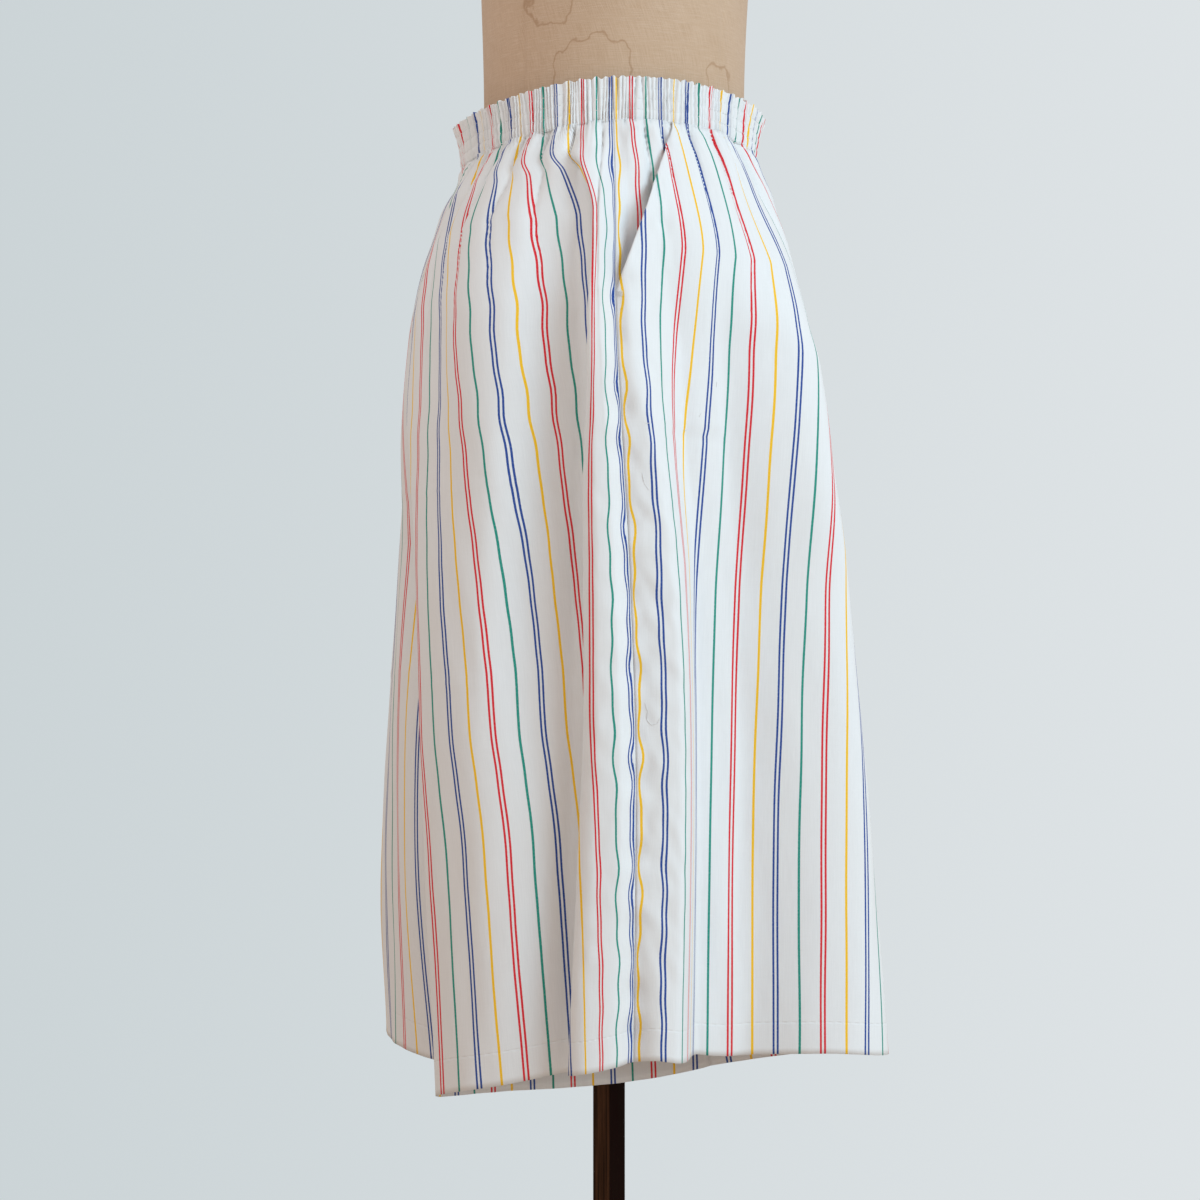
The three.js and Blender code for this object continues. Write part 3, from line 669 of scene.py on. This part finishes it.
def casing_rings():
    """Rings of the casing: places, outward normals, and the flat cloth's coordinate, from top to bottom."""
    depth = np.linspace(0, BAND_TOP - BAND_LOW, 26)
    rings, uv = [], []
    for d in depth:
        z = BAND_TOP - d
        plan = []
        for name in AROUND:
            key = name.split("_")[0]
            base = outline(z, name)
            s = np.linspace(0, base["length"], CASING_POINTS + 1)
            f, r, phi, nf, nr = on_outline(base, s)
            flat = running(gathering(key, s)[1:] * np.diff(s))
            coordinate = flat + STRIPE_START[key]
            if key == "front":
                # Above the facing the stripes run on from the facing's.
                coordinate = np.where(flat < 4.1 * STRIPE, -flat - STRIPE_START[key], coordinate)
            x = side_of(name)
            block = [x * r, -f, z + lift(z, phi, False), x * nr, -nf, coordinate, pleats(name, z, flat)]
            block = np.stack(block, axis=-1)
            block = block[::-1] if name in BACKWARDS else block
            plan.append(block[1:])
        plan = np.concatenate(plan)
        place = running(np.hypot(*np.diff(plan[:, :2], axis=0).T))
        near = min(abs(d - row) for row in STITCH_ROWS)
        pinch = bell(near / 1.2)
        height = ON_CASING * plan[:, 6] + 0.3 * CASING_WIDE(place, z)
        puff = 0.3 * (1 - pinch) + 0.5 * smooth((4 - d) / 4)
        lean = 1.2 * smooth((14 - d) / 14)
        out = height * (1 - 0.25 * pinch) + puff - 0.3 + lean * np.abs(plan[:, 4]) ** 2
        out = out - 0.55 * smooth((d - 25) / 6)
        plan[:, 0] += plan[:, 3] * out
        plan[:, 1] += plan[:, 4] * out
        plan[:, 2] += 0.9 * FRILL(place, 0.0) * smooth((7 - d) / 7)
        rings.append(plan[:, :3])
        uv.append(np.stack([plan[:, 5], plan[:, 2]], axis=-1))
    return np.array(rings), np.array(uv)


def casing(material):
    """A ring of doubled cloth: down the outside and up the inside."""
    rings, uv = casing_rings()
    middle = rings.mean(axis=(0, 1)) * (1, 1, 0)
    inside = rings[::-5].copy()
    flat = inside - middle
    size = np.hypot(flat[..., 0], flat[..., 1])[..., None]
    inside[..., :2] = middle[:2] + flat[..., :2] * (1 - CASING_WALL / size)
    points = np.concatenate([rings, inside])
    uv = np.concatenate([uv, uv[::-5]])
    return grid_object("waist_casing_cloth", points, uv, material, closed=True), rings


# ---- stitches and threads ----
# A thread's rings, as shares of its length and of its radius.
TAPER = ((0.0, 0.25), (0.2, 0.95), (0.5, 1.0), (0.8, 0.95), (1.0, 0.25))


def unit(v):
    return v / max(np.linalg.norm(v), 1e-9)


def thread_mesh(name, segments, radius, material, sides=5):
    """Short threads joined in one mesh: each is a tapered tube between two points, in millimetres."""
    points, faces = [], []
    last = len(TAPER) - 1
    for a, b, up in segments:
        along = unit(b - a)
        side = unit(np.cross(along, up))
        rise = np.cross(side, along)
        first = len(points)
        for share, size in TAPER:
            centre = a + (b - a) * share + up * (0.25 * radius * math.sin(math.pi * share))
            for j in range(sides):
                turn = 2 * math.pi * j / sides
                ring = side * math.cos(turn) + rise * math.sin(turn)
                points.append((centre + ring * radius * size) * MM)
        for i in range(last):
            for j in range(sides):
                k = (j + 1) % sides
                at = first + i * sides
                faces.append((at + j, at + k, at + sides + k, at + sides + j))
        faces.append(tuple(first + j for j in reversed(range(sides))))
        faces.append(tuple(first + last * sides + j for j in range(sides)))
    mesh = bpy.data.meshes.new(name)
    mesh.from_pydata([tuple(p) for p in points], [], faces)
    mesh.polygons.foreach_set("use_smooth", [True] * len(mesh.polygons))
    return new_object(name, mesh, material)


def casing_stitches(rings, material):
    """Four rows of machine stitches round the casing."""
    depth = np.linspace(0, BAND_TOP - BAND_LOW, rings.shape[0])
    segments = []
    for row in STITCH_ROWS:
        k = int(np.argmin(abs(depth - row)))
        ring = rings[k]
        for j in range(0, len(ring) - 5, 6):
            a, b = ring[j], ring[j + 4]
            up = unit(np.array([a[0], a[1], 0.0]))
            segments.append((a + up * 0.15, b + up * 0.15, up))
    return thread_mesh("waist_stitches", segments, STITCH_RADIUS, material, sides=4)


def on_cloth(name, z, q, out):
    """A place on a panel, and its outward direction."""
    at = read_at(cloth_row(name, z), q)
    x = side_of(name)
    return placed(x, at, out), np.array([x * at["nr"], -at["nf"], 0.0])


# Threads that show on each front panel, as (q, z) places: tacks that hold the pocket bag, the bar
# tack at the mouth's lower end, and loose ends beside the side seam.
BAG_TACKS = (
    ((16, 801), (19.5, 801.5)),
    ((57, 800), (61, 801)),
    ((72, 810), (74, 813)),
    ((93, 832), (94, 836)),
)
LOOSE_ENDS = (
    ((7, 606), (9, 600), (8, 594), (11, 590), (15, 591), (17, 595)),
    ((12, 768), (13, 760), (16, 755)),
)
BAR_TACK_LENGTH, BAR_TACK_ROWS = 5.0, 6
STITCH_RADIUS, THREAD_RADIUS = 0.16, 0.22


def panel_threads(side, material):
    name = "front_" + side
    segments = []
    for path in BAG_TACKS + LOOSE_ENDS:
        places = [on_cloth(name, z, q, 0.12) for q, z in path]
        segments += [(a[0], b[0], a[1]) for a, b in zip(places[:-1], places[1:])]
    for i in range(BAR_TACK_ROWS):
        z = MOUTH_LOW + 0.6 * i - 3.0
        a, b = (on_cloth(name, z, q, 0.5) for q in (0.4, 0.4 + BAR_TACK_LENGTH))
        segments.append((a[0], b[0], a[1]))
    return thread_mesh("threads_" + side, segments, THREAD_RADIUS, material)


# ---- dress form and stand ----
FORM = table(
    "z wide front back",
    (800, 118, 92, -92),
    (806, 124, 96, -96),
    (840, 142, 105, -105),
    (885, 150, 108, -108),
    (940, 138, 105, -103),
    (1000, 112, 102, -96),
    (1050, 109, 101, -94),
    (1140, 116, 104, -96),
    (1200, 128, 115, -99),
    (1270, 139, 124, -104),
    (1340, 146, 108, -106),
    (1390, 144, 88, -100),
    (1425, 124, 70, -88),
    (1448, 92, 58, -74),
    (1465, 66, 50, -62),
    (1490, 54, 46, -54),
    (1530, 50, 44, -50),
)
FORM_SQUARE = 2.05
FORM_SEAMS = (0.0, 50.0, 143.5, 216.5, 310.0)  # degrees from the front
FORM_ROWS = 150
NECK_CAP = dict(wide=53, front=47, back=-53, edge=4.5)
BOTTOM_BOARD = dict(wide=112, front=86, back=-86, edge=2.5)


def ends(name):
    """A piece's lowest and highest points in the frame, in millimetres."""
    return [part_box(name)[i][2] / MM for i in (0, 1)]


def circle(sides):
    return 2 * math.pi * np.arange(sides) / sides


def oval(wide, front, back, a):
    """X and Y of an oval at angles from the front."""
    c, s = np.cos(a), np.sin(a)
    middle, deep = (front + back) / 2, (front - back) / 2
    f = middle + deep * np.sign(c) * np.abs(c) ** (2 / FORM_SQUARE)
    r = wide * np.sign(s) * np.abs(s) ** (2 / FORM_SQUARE)
    return r, -f


def torso(material):
    """The form's linen cover: a shallow groove at each sewn seam, and turned in at both ends."""
    a = circle(264)
    points, uv = [], []
    for z in np.linspace(FORM[0]["z"] + 0.4, FORM[-1]["z"] - 0.4, FORM_ROWS):
        wide, front, back = (column(FORM, name, z) for name in ("wide", "front", "back"))
        x, y = oval(wide, front, back, a)
        groove = np.zeros_like(a)
        for seam in FORM_SEAMS:
            gap = (np.degrees(a) - seam + 180) % 360 - 180
            arc = np.radians(gap) * (wide + front) / 2
            groove += 0.9 * bell(arc / 1.6) - 0.35 * bell((np.abs(arc) - 3.6) / 1.5)
        scale = 1 - (groove + 0.2) / np.hypot(x, y)
        points.append(with_height(z, x * scale, y * scale))
        uv.append(with_height(z, a * wide))
    for share in (0.94, 0.6, 0.2):
        points.append(points[FORM_ROWS - 1] * (share, share, 1))
        uv.append(uv[FORM_ROWS - 1])
        points.insert(0, points[0] * (share, share, 1))
        uv.insert(0, uv[0])
    return grid_object("form_cover", points, uv, material, closed=True)


def oval_board(name, rings, material):
    a = circle(120)
    points = [with_height(z, *oval(*sizes, a)) for z, *sizes in rings]
    uv = [with_height(z, a * 50) for z, *sizes in rings]
    return grid_object(name, points, uv, material, closed=True)


def rounded(low, high, wide, front, back, edge):
    """Rings of a board with rounded edges, from its low face's middle to its high face's middle."""

    def ring(z, share=1.0, inset=0.0):
        return z, wide * share - inset, front * share - inset, back * share + inset

    turns = [math.pi / 2 * i / 6 for i in range(7)]
    rings = [ring(low, 0.02), ring(low, 0.6)]
    rings += [ring(low + edge * (1 - math.cos(t)), inset=edge * (1 - math.sin(t))) for t in turns]
    rings += [ring(high - edge * (1 - math.sin(t)), inset=edge * (1 - math.cos(t))) for t in turns]
    return rings + [ring(high, 0.6), ring(high, 0.02)]


POLE_SIDE, POLE_TURN, POLE_EDGE = 17.6, math.radians(35), 1.1
BASE_ROUND = 6.0


def post(material):
    """The square pole, turned about its own length."""
    low, high = ends("stand_pole")
    mesh = bpy.data.meshes.new("pole_post")
    shape = bmesh.new()
    bmesh.ops.create_cube(shape, size=1.0)
    for v in shape.verts:
        end = low if v.co.z < 0 else high
        v.co = Vector((v.co.x * POLE_SIDE, v.co.y * POLE_SIDE, end)) * MM
    bmesh.ops.rotate(shape, verts=shape.verts, cent=(0, 0, 0), matrix=Matrix.Rotation(POLE_TURN, 3, "Z"))
    shape.to_mesh(mesh)
    shape.free()
    obj = new_object("pole_post", mesh, material)
    bevel = obj.modifiers.new("Edges", "BEVEL")
    bevel.width = POLE_EDGE * MM
    bevel.segments = 4
    return obj


def base_disc(material):
    """The turned base: a rounded rim, and a fine groove round the top."""
    low, high = ends("stand_base")
    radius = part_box("stand_base")[1][0] / MM
    profile = [(0.6, low), (radius - 14, low), (radius - 3, low), (radius, low + 3)]
    for i in range(9):
        t = math.pi / 2 * i / 8
        rim = radius - BASE_ROUND + BASE_ROUND * math.cos(t)
        profile.append((rim, high - BASE_ROUND + BASE_ROUND * math.sin(t)))
    profile += [(radius - 16, high), (radius - 17.5, high - 1.0), (radius - 19, high)]
    profile += [(60, high), (16, high), (0.6, high)]
    a = circle(160)
    points = [with_height(z, rad * np.cos(a), rad * np.sin(a)) for rad, z in profile]
    uv = np.zeros((len(profile), len(a), 2))
    return grid_object("base_disc", points, uv, material, closed=True)


# ---- materials ----
class Nodes:
    """A node tree with short calls: each returns the output socket."""

    def __init__(self, owner):
        owner.use_nodes = True
        self.owner = owner
        self.tree = owner.node_tree
        self.shader = self.tree.nodes.get("Principled BSDF")

    def add(self, kind, **settings):
        node = self.tree.nodes.new(kind)
        for key, value in settings.items():
            setattr(node, key, value)
        return node

    def feed(self, socket, value):
        if isinstance(value, bpy.types.NodeSocket):
            self.tree.links.new(value, socket)
        else:
            socket.default_value = value

    def fill(self, node, values):
        for name, value in values.items():
            self.feed(node.inputs[name], value)
        return node.outputs[0]

    def math(self, operation, *values):
        node = self.add("ShaderNodeMath", operation=operation)
        for socket, value in zip(node.inputs, values):
            self.feed(socket, value)
        return node.outputs[0]

    def plus(self, a, b):
        return self.math("ADD", a, b)

    def less(self, a, b):
        return self.math("SUBTRACT", a, b)

    def times(self, a, b):
        return self.math("MULTIPLY", a, b)

    def size(self, a):
        return self.math("ABSOLUTE", a)

    def mix(self, factor, a, b):
        node = self.add("ShaderNodeMix", data_type="RGBA")
        self.feed(node.inputs["Factor"], factor)
        colours = [s for s in node.inputs if s.type == "RGBA"]
        self.feed(colours[0], a)
        self.feed(colours[1], b)
        return next(s for s in node.outputs if s.type == "RGBA")

    def ramp(self, value, low, high, to_low=0.0, to_high=1.0):
        node = self.add("ShaderNodeMapRange", interpolation_type="SMOOTHSTEP")
        for socket, item in zip(node.inputs, (value, low, high, to_low, to_high)):
            self.feed(socket, item)
        return node.outputs[0]

    def noise(self, vector, scale, detail=2.0, roughness=0.5):
        values = {"Vector": vector, "Scale": scale, "Detail": detail, "Roughness": roughness}
        return self.fill(self.add("ShaderNodeTexNoise"), values)

    def streaks(self, vector, scale, detail=2.0, roughness=0.5):
        """Noise stretched by its own scale along each axis."""
        placed_in = self.fill(self.add("ShaderNodeMapping"), {"Vector": vector, "Scale": scale})
        return self.noise(placed_in, 1.0, detail, roughness)

    def bump(self, height, strength, distance):
        values = {"Strength": strength, "Distance": distance, "Height": height}
        return self.fill(self.add("ShaderNodeBump"), values)

    def where(self):
        return self.add("ShaderNodeTexCoord").outputs["Object"]

    def on_flat_cloth(self):
        return self.add("ShaderNodeUVMap", uv_map="Cloth").outputs[0]

    def split(self, vector):
        node = self.add("ShaderNodeSeparateXYZ")
        self.feed(node.inputs[0], vector)
        return node.outputs


def material(name):
    return Nodes(bpy.data.materials.new(name))


WHITE = (0.885, 0.912, 0.93, 1.0)
WHITE_SLUB = (0.84, 0.868, 0.885, 1.0)
WHITE_WEFT = (0.845, 0.868, 0.88, 1.0)
WHITE_CLOUD = (0.86, 0.873, 0.87, 1.0)
YELLOW = (1.0, 0.60, 0.005, 1.0)
GREEN = (0.0, 0.30, 0.23, 1.0)
BLUE = (0.006, 0.060, 0.33, 1.0)
RED = (0.76, 0.004, 0.02, 1.0)
# Half the width of each stripe's line; a stripe with a gap is two lines, that far from its middle.
STRIPES = table(
    "tint line gap",
    (YELLOW, 0.90, 0),
    (BLUE, 0.74, 1.5),
    (GREEN, 0.86, 0),
    (RED, 0.74, 1.5),
)
STRIPE_BLUR = 0.14
TRANSLUCENT = 0.07
HEM_STITCHES = 23.0  # the hem's stitching is this far above the edge
DIMPLE_EVERY = 0.0065  # metres


def printed(n, colour, across, thread):
    """The stripes: they repeat after four, with slightly ragged edges."""
    place = n.plus(across, n.math("MULTIPLY_ADD", thread, 0.00022, -0.00011))
    half_repeat = len(STRIPES) / 2 * STRIPE * MM
    for number, stripe in enumerate(STRIPES):
        off = n.less(place, number * STRIPE * MM)
        off = n.size(n.math("WRAP", off, half_repeat, -half_repeat))
        if stripe["gap"]:
            off = n.size(n.less(off, stripe["gap"] * MM))
        edge, soft = stripe["line"] * MM, STRIPE_BLUR * MM
        mask = n.ramp(off, edge - soft, edge + soft, 1.0, 0.0)
        worn = n.times(mask, n.ramp(thread, 0.25, 0.6, 0.88, 1.0))
        colour = n.mix(worn, colour, stripe["tint"])
    return colour


def hem_relief(n, across, up):
    """The hem's blind stitching: a faint dimpled line, with the doubled cloth below it."""
    above = n.less(up, (HEM + HEM_STITCHES) * MM)
    line = n.ramp(n.size(above), 0.0, 0.0011, 1.0, 0.0)
    beat = n.math("SINE", n.times(across, 2 * math.pi / DIMPLE_EVERY))
    dimple = n.times(line, n.math("MULTIPLY_ADD", beat, 0.35, 0.65))
    return n.less(n.ramp(above, -0.0008, 0.0008, 0.25, 0.0), n.times(dimple, 0.55))


def striped_cotton():
    n = material("striped_cotton")
    uv = n.on_flat_cloth()
    across, up = n.split(uv)[:2]
    thread = n.streaks(uv, (3000, 700, 1), 1.0)
    slub = n.streaks(uv, (1500, 45, 1), 3.0, 0.6)
    cross = n.streaks(uv, (45, 1500, 1), 3.0, 0.6)
    cloud = n.streaks(uv, (14, 9, 1))
    white = n.mix(n.ramp(slub, 0.3, 0.7), WHITE, WHITE_SLUB)
    white = n.mix(n.ramp(cross, 0.35, 0.75, 0.0, 0.5), white, WHITE_WEFT)
    white = n.mix(n.ramp(cloud, 0.35, 0.8, 0.0, 0.35), white, WHITE_CLOUD)
    colour = printed(n, white, across, thread)
    weave = n.plus(n.times(slub, 0.6), n.times(cross, 0.5))
    rumple = n.streaks(uv, (42, 26, 1), 3.0, 0.55)
    height = n.plus(n.plus(n.times(weave, 0.16), rumple), hem_relief(n, across, up))
    n.fill(n.shader, {
        "Base Color": colour,
        "Roughness": 0.88,
        "Sheen Weight": 0.12,
        "Specular IOR Level": 0.25,
        "Normal": n.bump(height, 0.5, 0.0011),
    })
    through = n.add("ShaderNodeBsdfTranslucent")
    n.feed(through.inputs["Color"], colour)
    blend = n.add("ShaderNodeMixShader")
    n.feed(blend.inputs[0], TRANSLUCENT)
    n.feed(blend.inputs[1], n.shader.outputs[0])
    n.feed(blend.inputs[2], through.outputs[0])
    n.feed(n.tree.nodes["Material Output"].inputs["Surface"], blend.outputs[0])
    return n.owner


THREAD_PALE = (0.84, 0.85, 0.85, 1)
THREAD_DARK = (0.70, 0.71, 0.71, 1)


def white_thread():
    n = material("white_thread")
    twist = n.streaks(n.where(), (3000, 3000, 900))
    n.fill(n.shader, {
        "Base Color": n.mix(n.ramp(twist, 0.3, 0.7), THREAD_PALE, THREAD_DARK),
        "Roughness": 0.6,
        "Normal": n.bump(twist, 0.4, 0.0002),
    })
    return n.owner


LINEN_BASE = (0.61, 0.445, 0.31, 1)
LINEN_DARK = (0.47, 0.315, 0.195, 1)
LINEN_PALE = (0.70, 0.545, 0.42, 1)
STAIN = (0.36, 0.20, 0.10, 1.0)
# Rings that water left on the linen, in metres.
WATER_MARKS = table(
    "y z radius",
    (0.059, 1.112, 0.015),
    (0.030, 1.060, 0.028),
    (-0.067, 1.060, 0.011),
    (-0.020, 1.150, 0.030),
    (0.080, 1.190, 0.022),
)
RING_WIDE = 0.0014


def water_marks(n, colour, where):
    x, y, z = n.split(where)
    wander = n.math("MULTIPLY_ADD", n.noise(where, 42.0, 3.0), 0.030, -0.015)
    for mark in WATER_MARKS:
        dy = n.less(y, mark["y"])
        dz = n.less(z, mark["z"])
        far = n.math("SQRT", n.plus(n.times(dy, dy), n.times(dz, dz)))
        ring = n.size(n.less(n.plus(far, wander), mark["radius"]))
        colour = n.mix(n.ramp(ring, 0.0, RING_WIDE, 0.55, 0.0), colour, STAIN)
    return colour


def form_linen():
    n = material("form_linen")
    where = n.where()
    uv = n.on_flat_cloth()
    warp = n.streaks(uv, (1300, 60, 1), 4.0, 0.65)
    weft = n.streaks(uv, (60, 1300, 1), 4.0, 0.65)
    patch = n.noise(where, 9.0, 4.0, 0.6)
    colour = n.mix(n.ramp(warp, 0.35, 0.7, 0.0, 0.55), LINEN_BASE, LINEN_DARK)
    colour = n.mix(n.ramp(weft, 0.4, 0.75, 0.0, 0.5), colour, LINEN_PALE)
    colour = n.mix(n.ramp(patch, 0.35, 0.75, 0.0, 0.35), colour, LINEN_DARK)
    n.fill(n.shader, {
        "Base Color": water_marks(n, colour, where),
        "Roughness": 0.95,
        "Sheen Weight": 0.15,
        "Normal": n.bump(n.plus(warp, weft), 0.45, 0.0006),
    })
    return n.owner


WOOD_DARK = (0.008, 0.003, 0.0015, 1)
WOOD_RUBBED = (0.075, 0.045, 0.028, 1)


def dark_wood(name, lit_left_colour, shaded_right_colour):
    """Stained wood with painted light and shade: faces towards the camera's left take one colour, painted
    as lit, and faces towards its right take another, painted in shade.
    """
    n = material(name)
    where = n.where()
    grain = n.streaks(where, (420, 420, 9), 5.0, 0.6)
    pores = n.streaks(where, (1500, 1500, 40))
    wear = n.noise(where, 30.0, 4.0, 0.7)
    x, y, z = n.split(where)
    turned = n.plus(n.times(x, TO_RIGHT.x), n.times(y, TO_RIGHT.y))
    # Painted light and shade: faces towards the camera's left get the lit colour and faces towards its
    # right get the shaded one.
    painted_face_light = n.mix(n.ramp(turned, -0.001, 0.001), lit_left_colour, shaded_right_colour)
    colour = n.mix(n.ramp(grain, 0.3, 0.75), painted_face_light, WOOD_DARK)
    n.fill(n.shader, {
        "Base Color": n.mix(n.ramp(wear, 0.62, 0.8, 0.0, 0.35), colour, WOOD_RUBBED),
        "Roughness": n.ramp(wear, 0.3, 0.8, 0.42, 0.62),
        "Specular IOR Level": 0.04,
        "Normal": n.bump(n.plus(n.times(pores, 0.5), grain), 0.25, 0.0004),
    })
    return n.owner


FLOOR_PALE = (0.60, 0.48, 0.385, 1)
FLOOR_DARK = (0.57, 0.455, 0.36, 1)


def floor_paint():
    n = material("floor_paint")
    soft = n.noise(n.where(), 3.0, 3.0)
    colour = n.mix(n.ramp(soft, 0.3, 0.7), FLOOR_PALE, FLOOR_DARK)
    n.fill(n.shader, {"Base Color": colour, "Roughness": 0.9})
    return n.owner


# ---- the pieces ----
COTTON = striped_cotton()
LINEN = form_linen()
# The pole's dark stain is painted lighter brown on the faces towards the camera's left, as painted light,
# and near-black on the faces towards its right, as painted shade.
POLE_WOOD_PAINTED_SHADE = dark_wood("pole_wood_painted_shade", (0.085, 0.038, 0.018, 1), (0.008, 0.0012, 0.0008, 1))
WOOD = dark_wood("dark_wood", (0.040, 0.018, 0.010, 1), (0.040, 0.018, 0.010, 1))
THREAD = white_thread()


def keep(piece, slot, *nodes):
    """A piece that rides the part's one body, and hides the nodes that it stands for. The slot argument is
    not used.
    """
    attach(piece, "root")
    if nodes:
        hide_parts(*nodes)
    return piece


keep(torso(LINEN), "form_linen", "form_torso")
neck_cap = rounded(*ends("form_neck_cap"), **NECK_CAP)
keep(oval_board("neck_cap", neck_cap, WOOD), "dark_wood", "form_neck_cap")
bottom_board = rounded(*ends("form_bottom_board"), **BOTTOM_BOARD)
keep(oval_board("bottom_board", bottom_board, WOOD), "dark_wood", "form_bottom_board")
keep(post(POLE_WOOD_PAINTED_SHADE), "dark_wood", "stand_pole")
keep(base_disc(WOOD), "dark_wood", "stand_base")

# Each panel's flat cloth in metres and square metres, with its hem.
PANELS = table(
    "name flat area",
    ("front_right", (0.44, 0.70), 0.245),
    ("front_left", (0.44, 0.70), 0.235),
    ("back_right", (0.51, 0.70), 0.27),
    ("back_left", (0.51, 0.70), 0.27),
)
for part in PANELS:
    name, flat_size, flat_area = part["name"], part["flat"], part["area"]
    piece = thicken(panel(name, COTTON))
    piece.name = name + "_cloth"
    keep(piece, "striped_cotton", name)
    key, side = name.split("_")
    threads = [keep(panel_threads(side, THREAD), "striped_cotton").name] if key == "front" else []

for side in ("right", "left"):
    piece = thicken(pocket_facing(side, COTTON))
    piece.name = "pocket_facing_" + side + "_cloth"
    keep(piece, "striped_cotton", "pocket_facing_" + side)

band, band_rings = casing(COTTON)
keep(band, "striped_cotton", "waist_casing")
keep(casing_stitches(band_rings, THREAD), "striped_cotton")

# ---- floor, light and camera ----
# The camera, in metres.
DISTANCE = 1.950  # from the pole
LEVEL = 0.685  # height
ASIDE = 0.0068  # it stands this far to the left of the pole
VIEW_WIDE = 0.90566038  # the picture's width, at the pole
SENSOR = 36.0

bpy.ops.mesh.primitive_circle_add(vertices=128, radius=0.85, fill_type="NGON", location=(0, 0, -0.0005))
floor = bpy.context.object
floor.name = "floor"
floor.data.materials.append(floor_paint())


def area_light(name, place, target, size, power, colour):
    data = bpy.data.lights.new(name, "AREA")
    data.shape = "DISK"
    data.size = size
    data.energy = power
    data.color = colour
    light = bpy.data.objects.new(name, data)
    light.location = place
    light.rotation_euler = (Vector(target) - Vector(place)).to_track_quat("-Z", "Y").to_euler()
    SCENE.collection.objects.link(light)


# A large cool light like a window to the camera's right, and a small one for the upper back.
MIDDLE = Vector((0, 0, 0.72))
UPPER_BACK = Vector((-0.05, 0.10, 0.95))
LIGHTS = table(
    "name target right camera up size power colour",
    ("key", MIDDLE, 2.05, 1.85, 0.9, 1.6, 56, (0.60, 0.80, 0.92)),
    ("fill", UPPER_BACK, -0.60, 0.42, 0.50, 0.45, 1.5, (0.80, 0.92, 1.0)),
)
for row in LIGHTS:
    aside = TO_RIGHT * row["right"] + TO_CAMERA * row["camera"]
    place = row["target"] + aside + Vector((0, 0, row["up"]))
    area_light(row["name"], place, row["target"], row["size"], row["power"], row["colour"])

ROOM_LEFT = (0.57, 0.455, 0.385, 1)
ROOM_RIGHT = (0.61, 0.515, 0.46, 1)
ROOM_ABOVE = (0.66, 0.63, 0.62, 1)
ROOM_BELOW = (0.55, 0.47, 0.41, 1)
BACKDROP_LEFT = (0.575, 0.635, 0.655, 1)
BACKDROP_RIGHT = (0.755, 0.79, 0.81, 1)


def world_light():
    """Warm light from a room all round, a little brighter from the right and above, and a pale
    cool backdrop behind the part."""
    n = Nodes(bpy.data.worlds.new("surroundings"))
    SCENE.world = n.owner
    direction = n.add("ShaderNodeTexCoord").outputs["Generated"]

    def toward(way):
        node = n.add("ShaderNodeVectorMath", operation="DOT_PRODUCT")
        n.feed(node.inputs[0], direction)
        n.feed(node.inputs[1], way)
        return node.outputs["Value"]

    right, front, up = toward(TO_RIGHT), toward(TO_CAMERA), toward(Vector((0, 0, 1)))
    around = n.mix(n.ramp(right, -0.60, 0.60), ROOM_LEFT, ROOM_RIGHT)
    around = n.mix(n.ramp(up, 0.25, 0.95), around, ROOM_ABOVE)
    around = n.mix(n.ramp(up, 0.0, -0.6), around, ROOM_BELOW)
    backdrop = n.mix(n.ramp(right, -0.45, 0.45), BACKDROP_LEFT, BACKDROP_RIGHT)
    colour = n.mix(n.ramp(front, -0.80, -0.93), around, backdrop)
    n.feed(n.tree.nodes["Background"].inputs["Color"], colour)


world_light()

camera_data = bpy.data.cameras.new("camera")
camera_data.sensor_width = SENSOR
camera_data.lens = DISTANCE / VIEW_WIDE * SENSOR
camera = bpy.data.objects.new("camera", camera_data)
camera.location = TO_CAMERA * DISTANCE - TO_RIGHT * ASIDE + Vector((0, 0, LEVEL))
camera.rotation_euler = (-TO_CAMERA).to_track_quat("-Z", "Y").to_euler()
SCENE.collection.objects.link(camera)
SCENE.camera = camera
SCENE.view_settings.view_transform = "Standard"
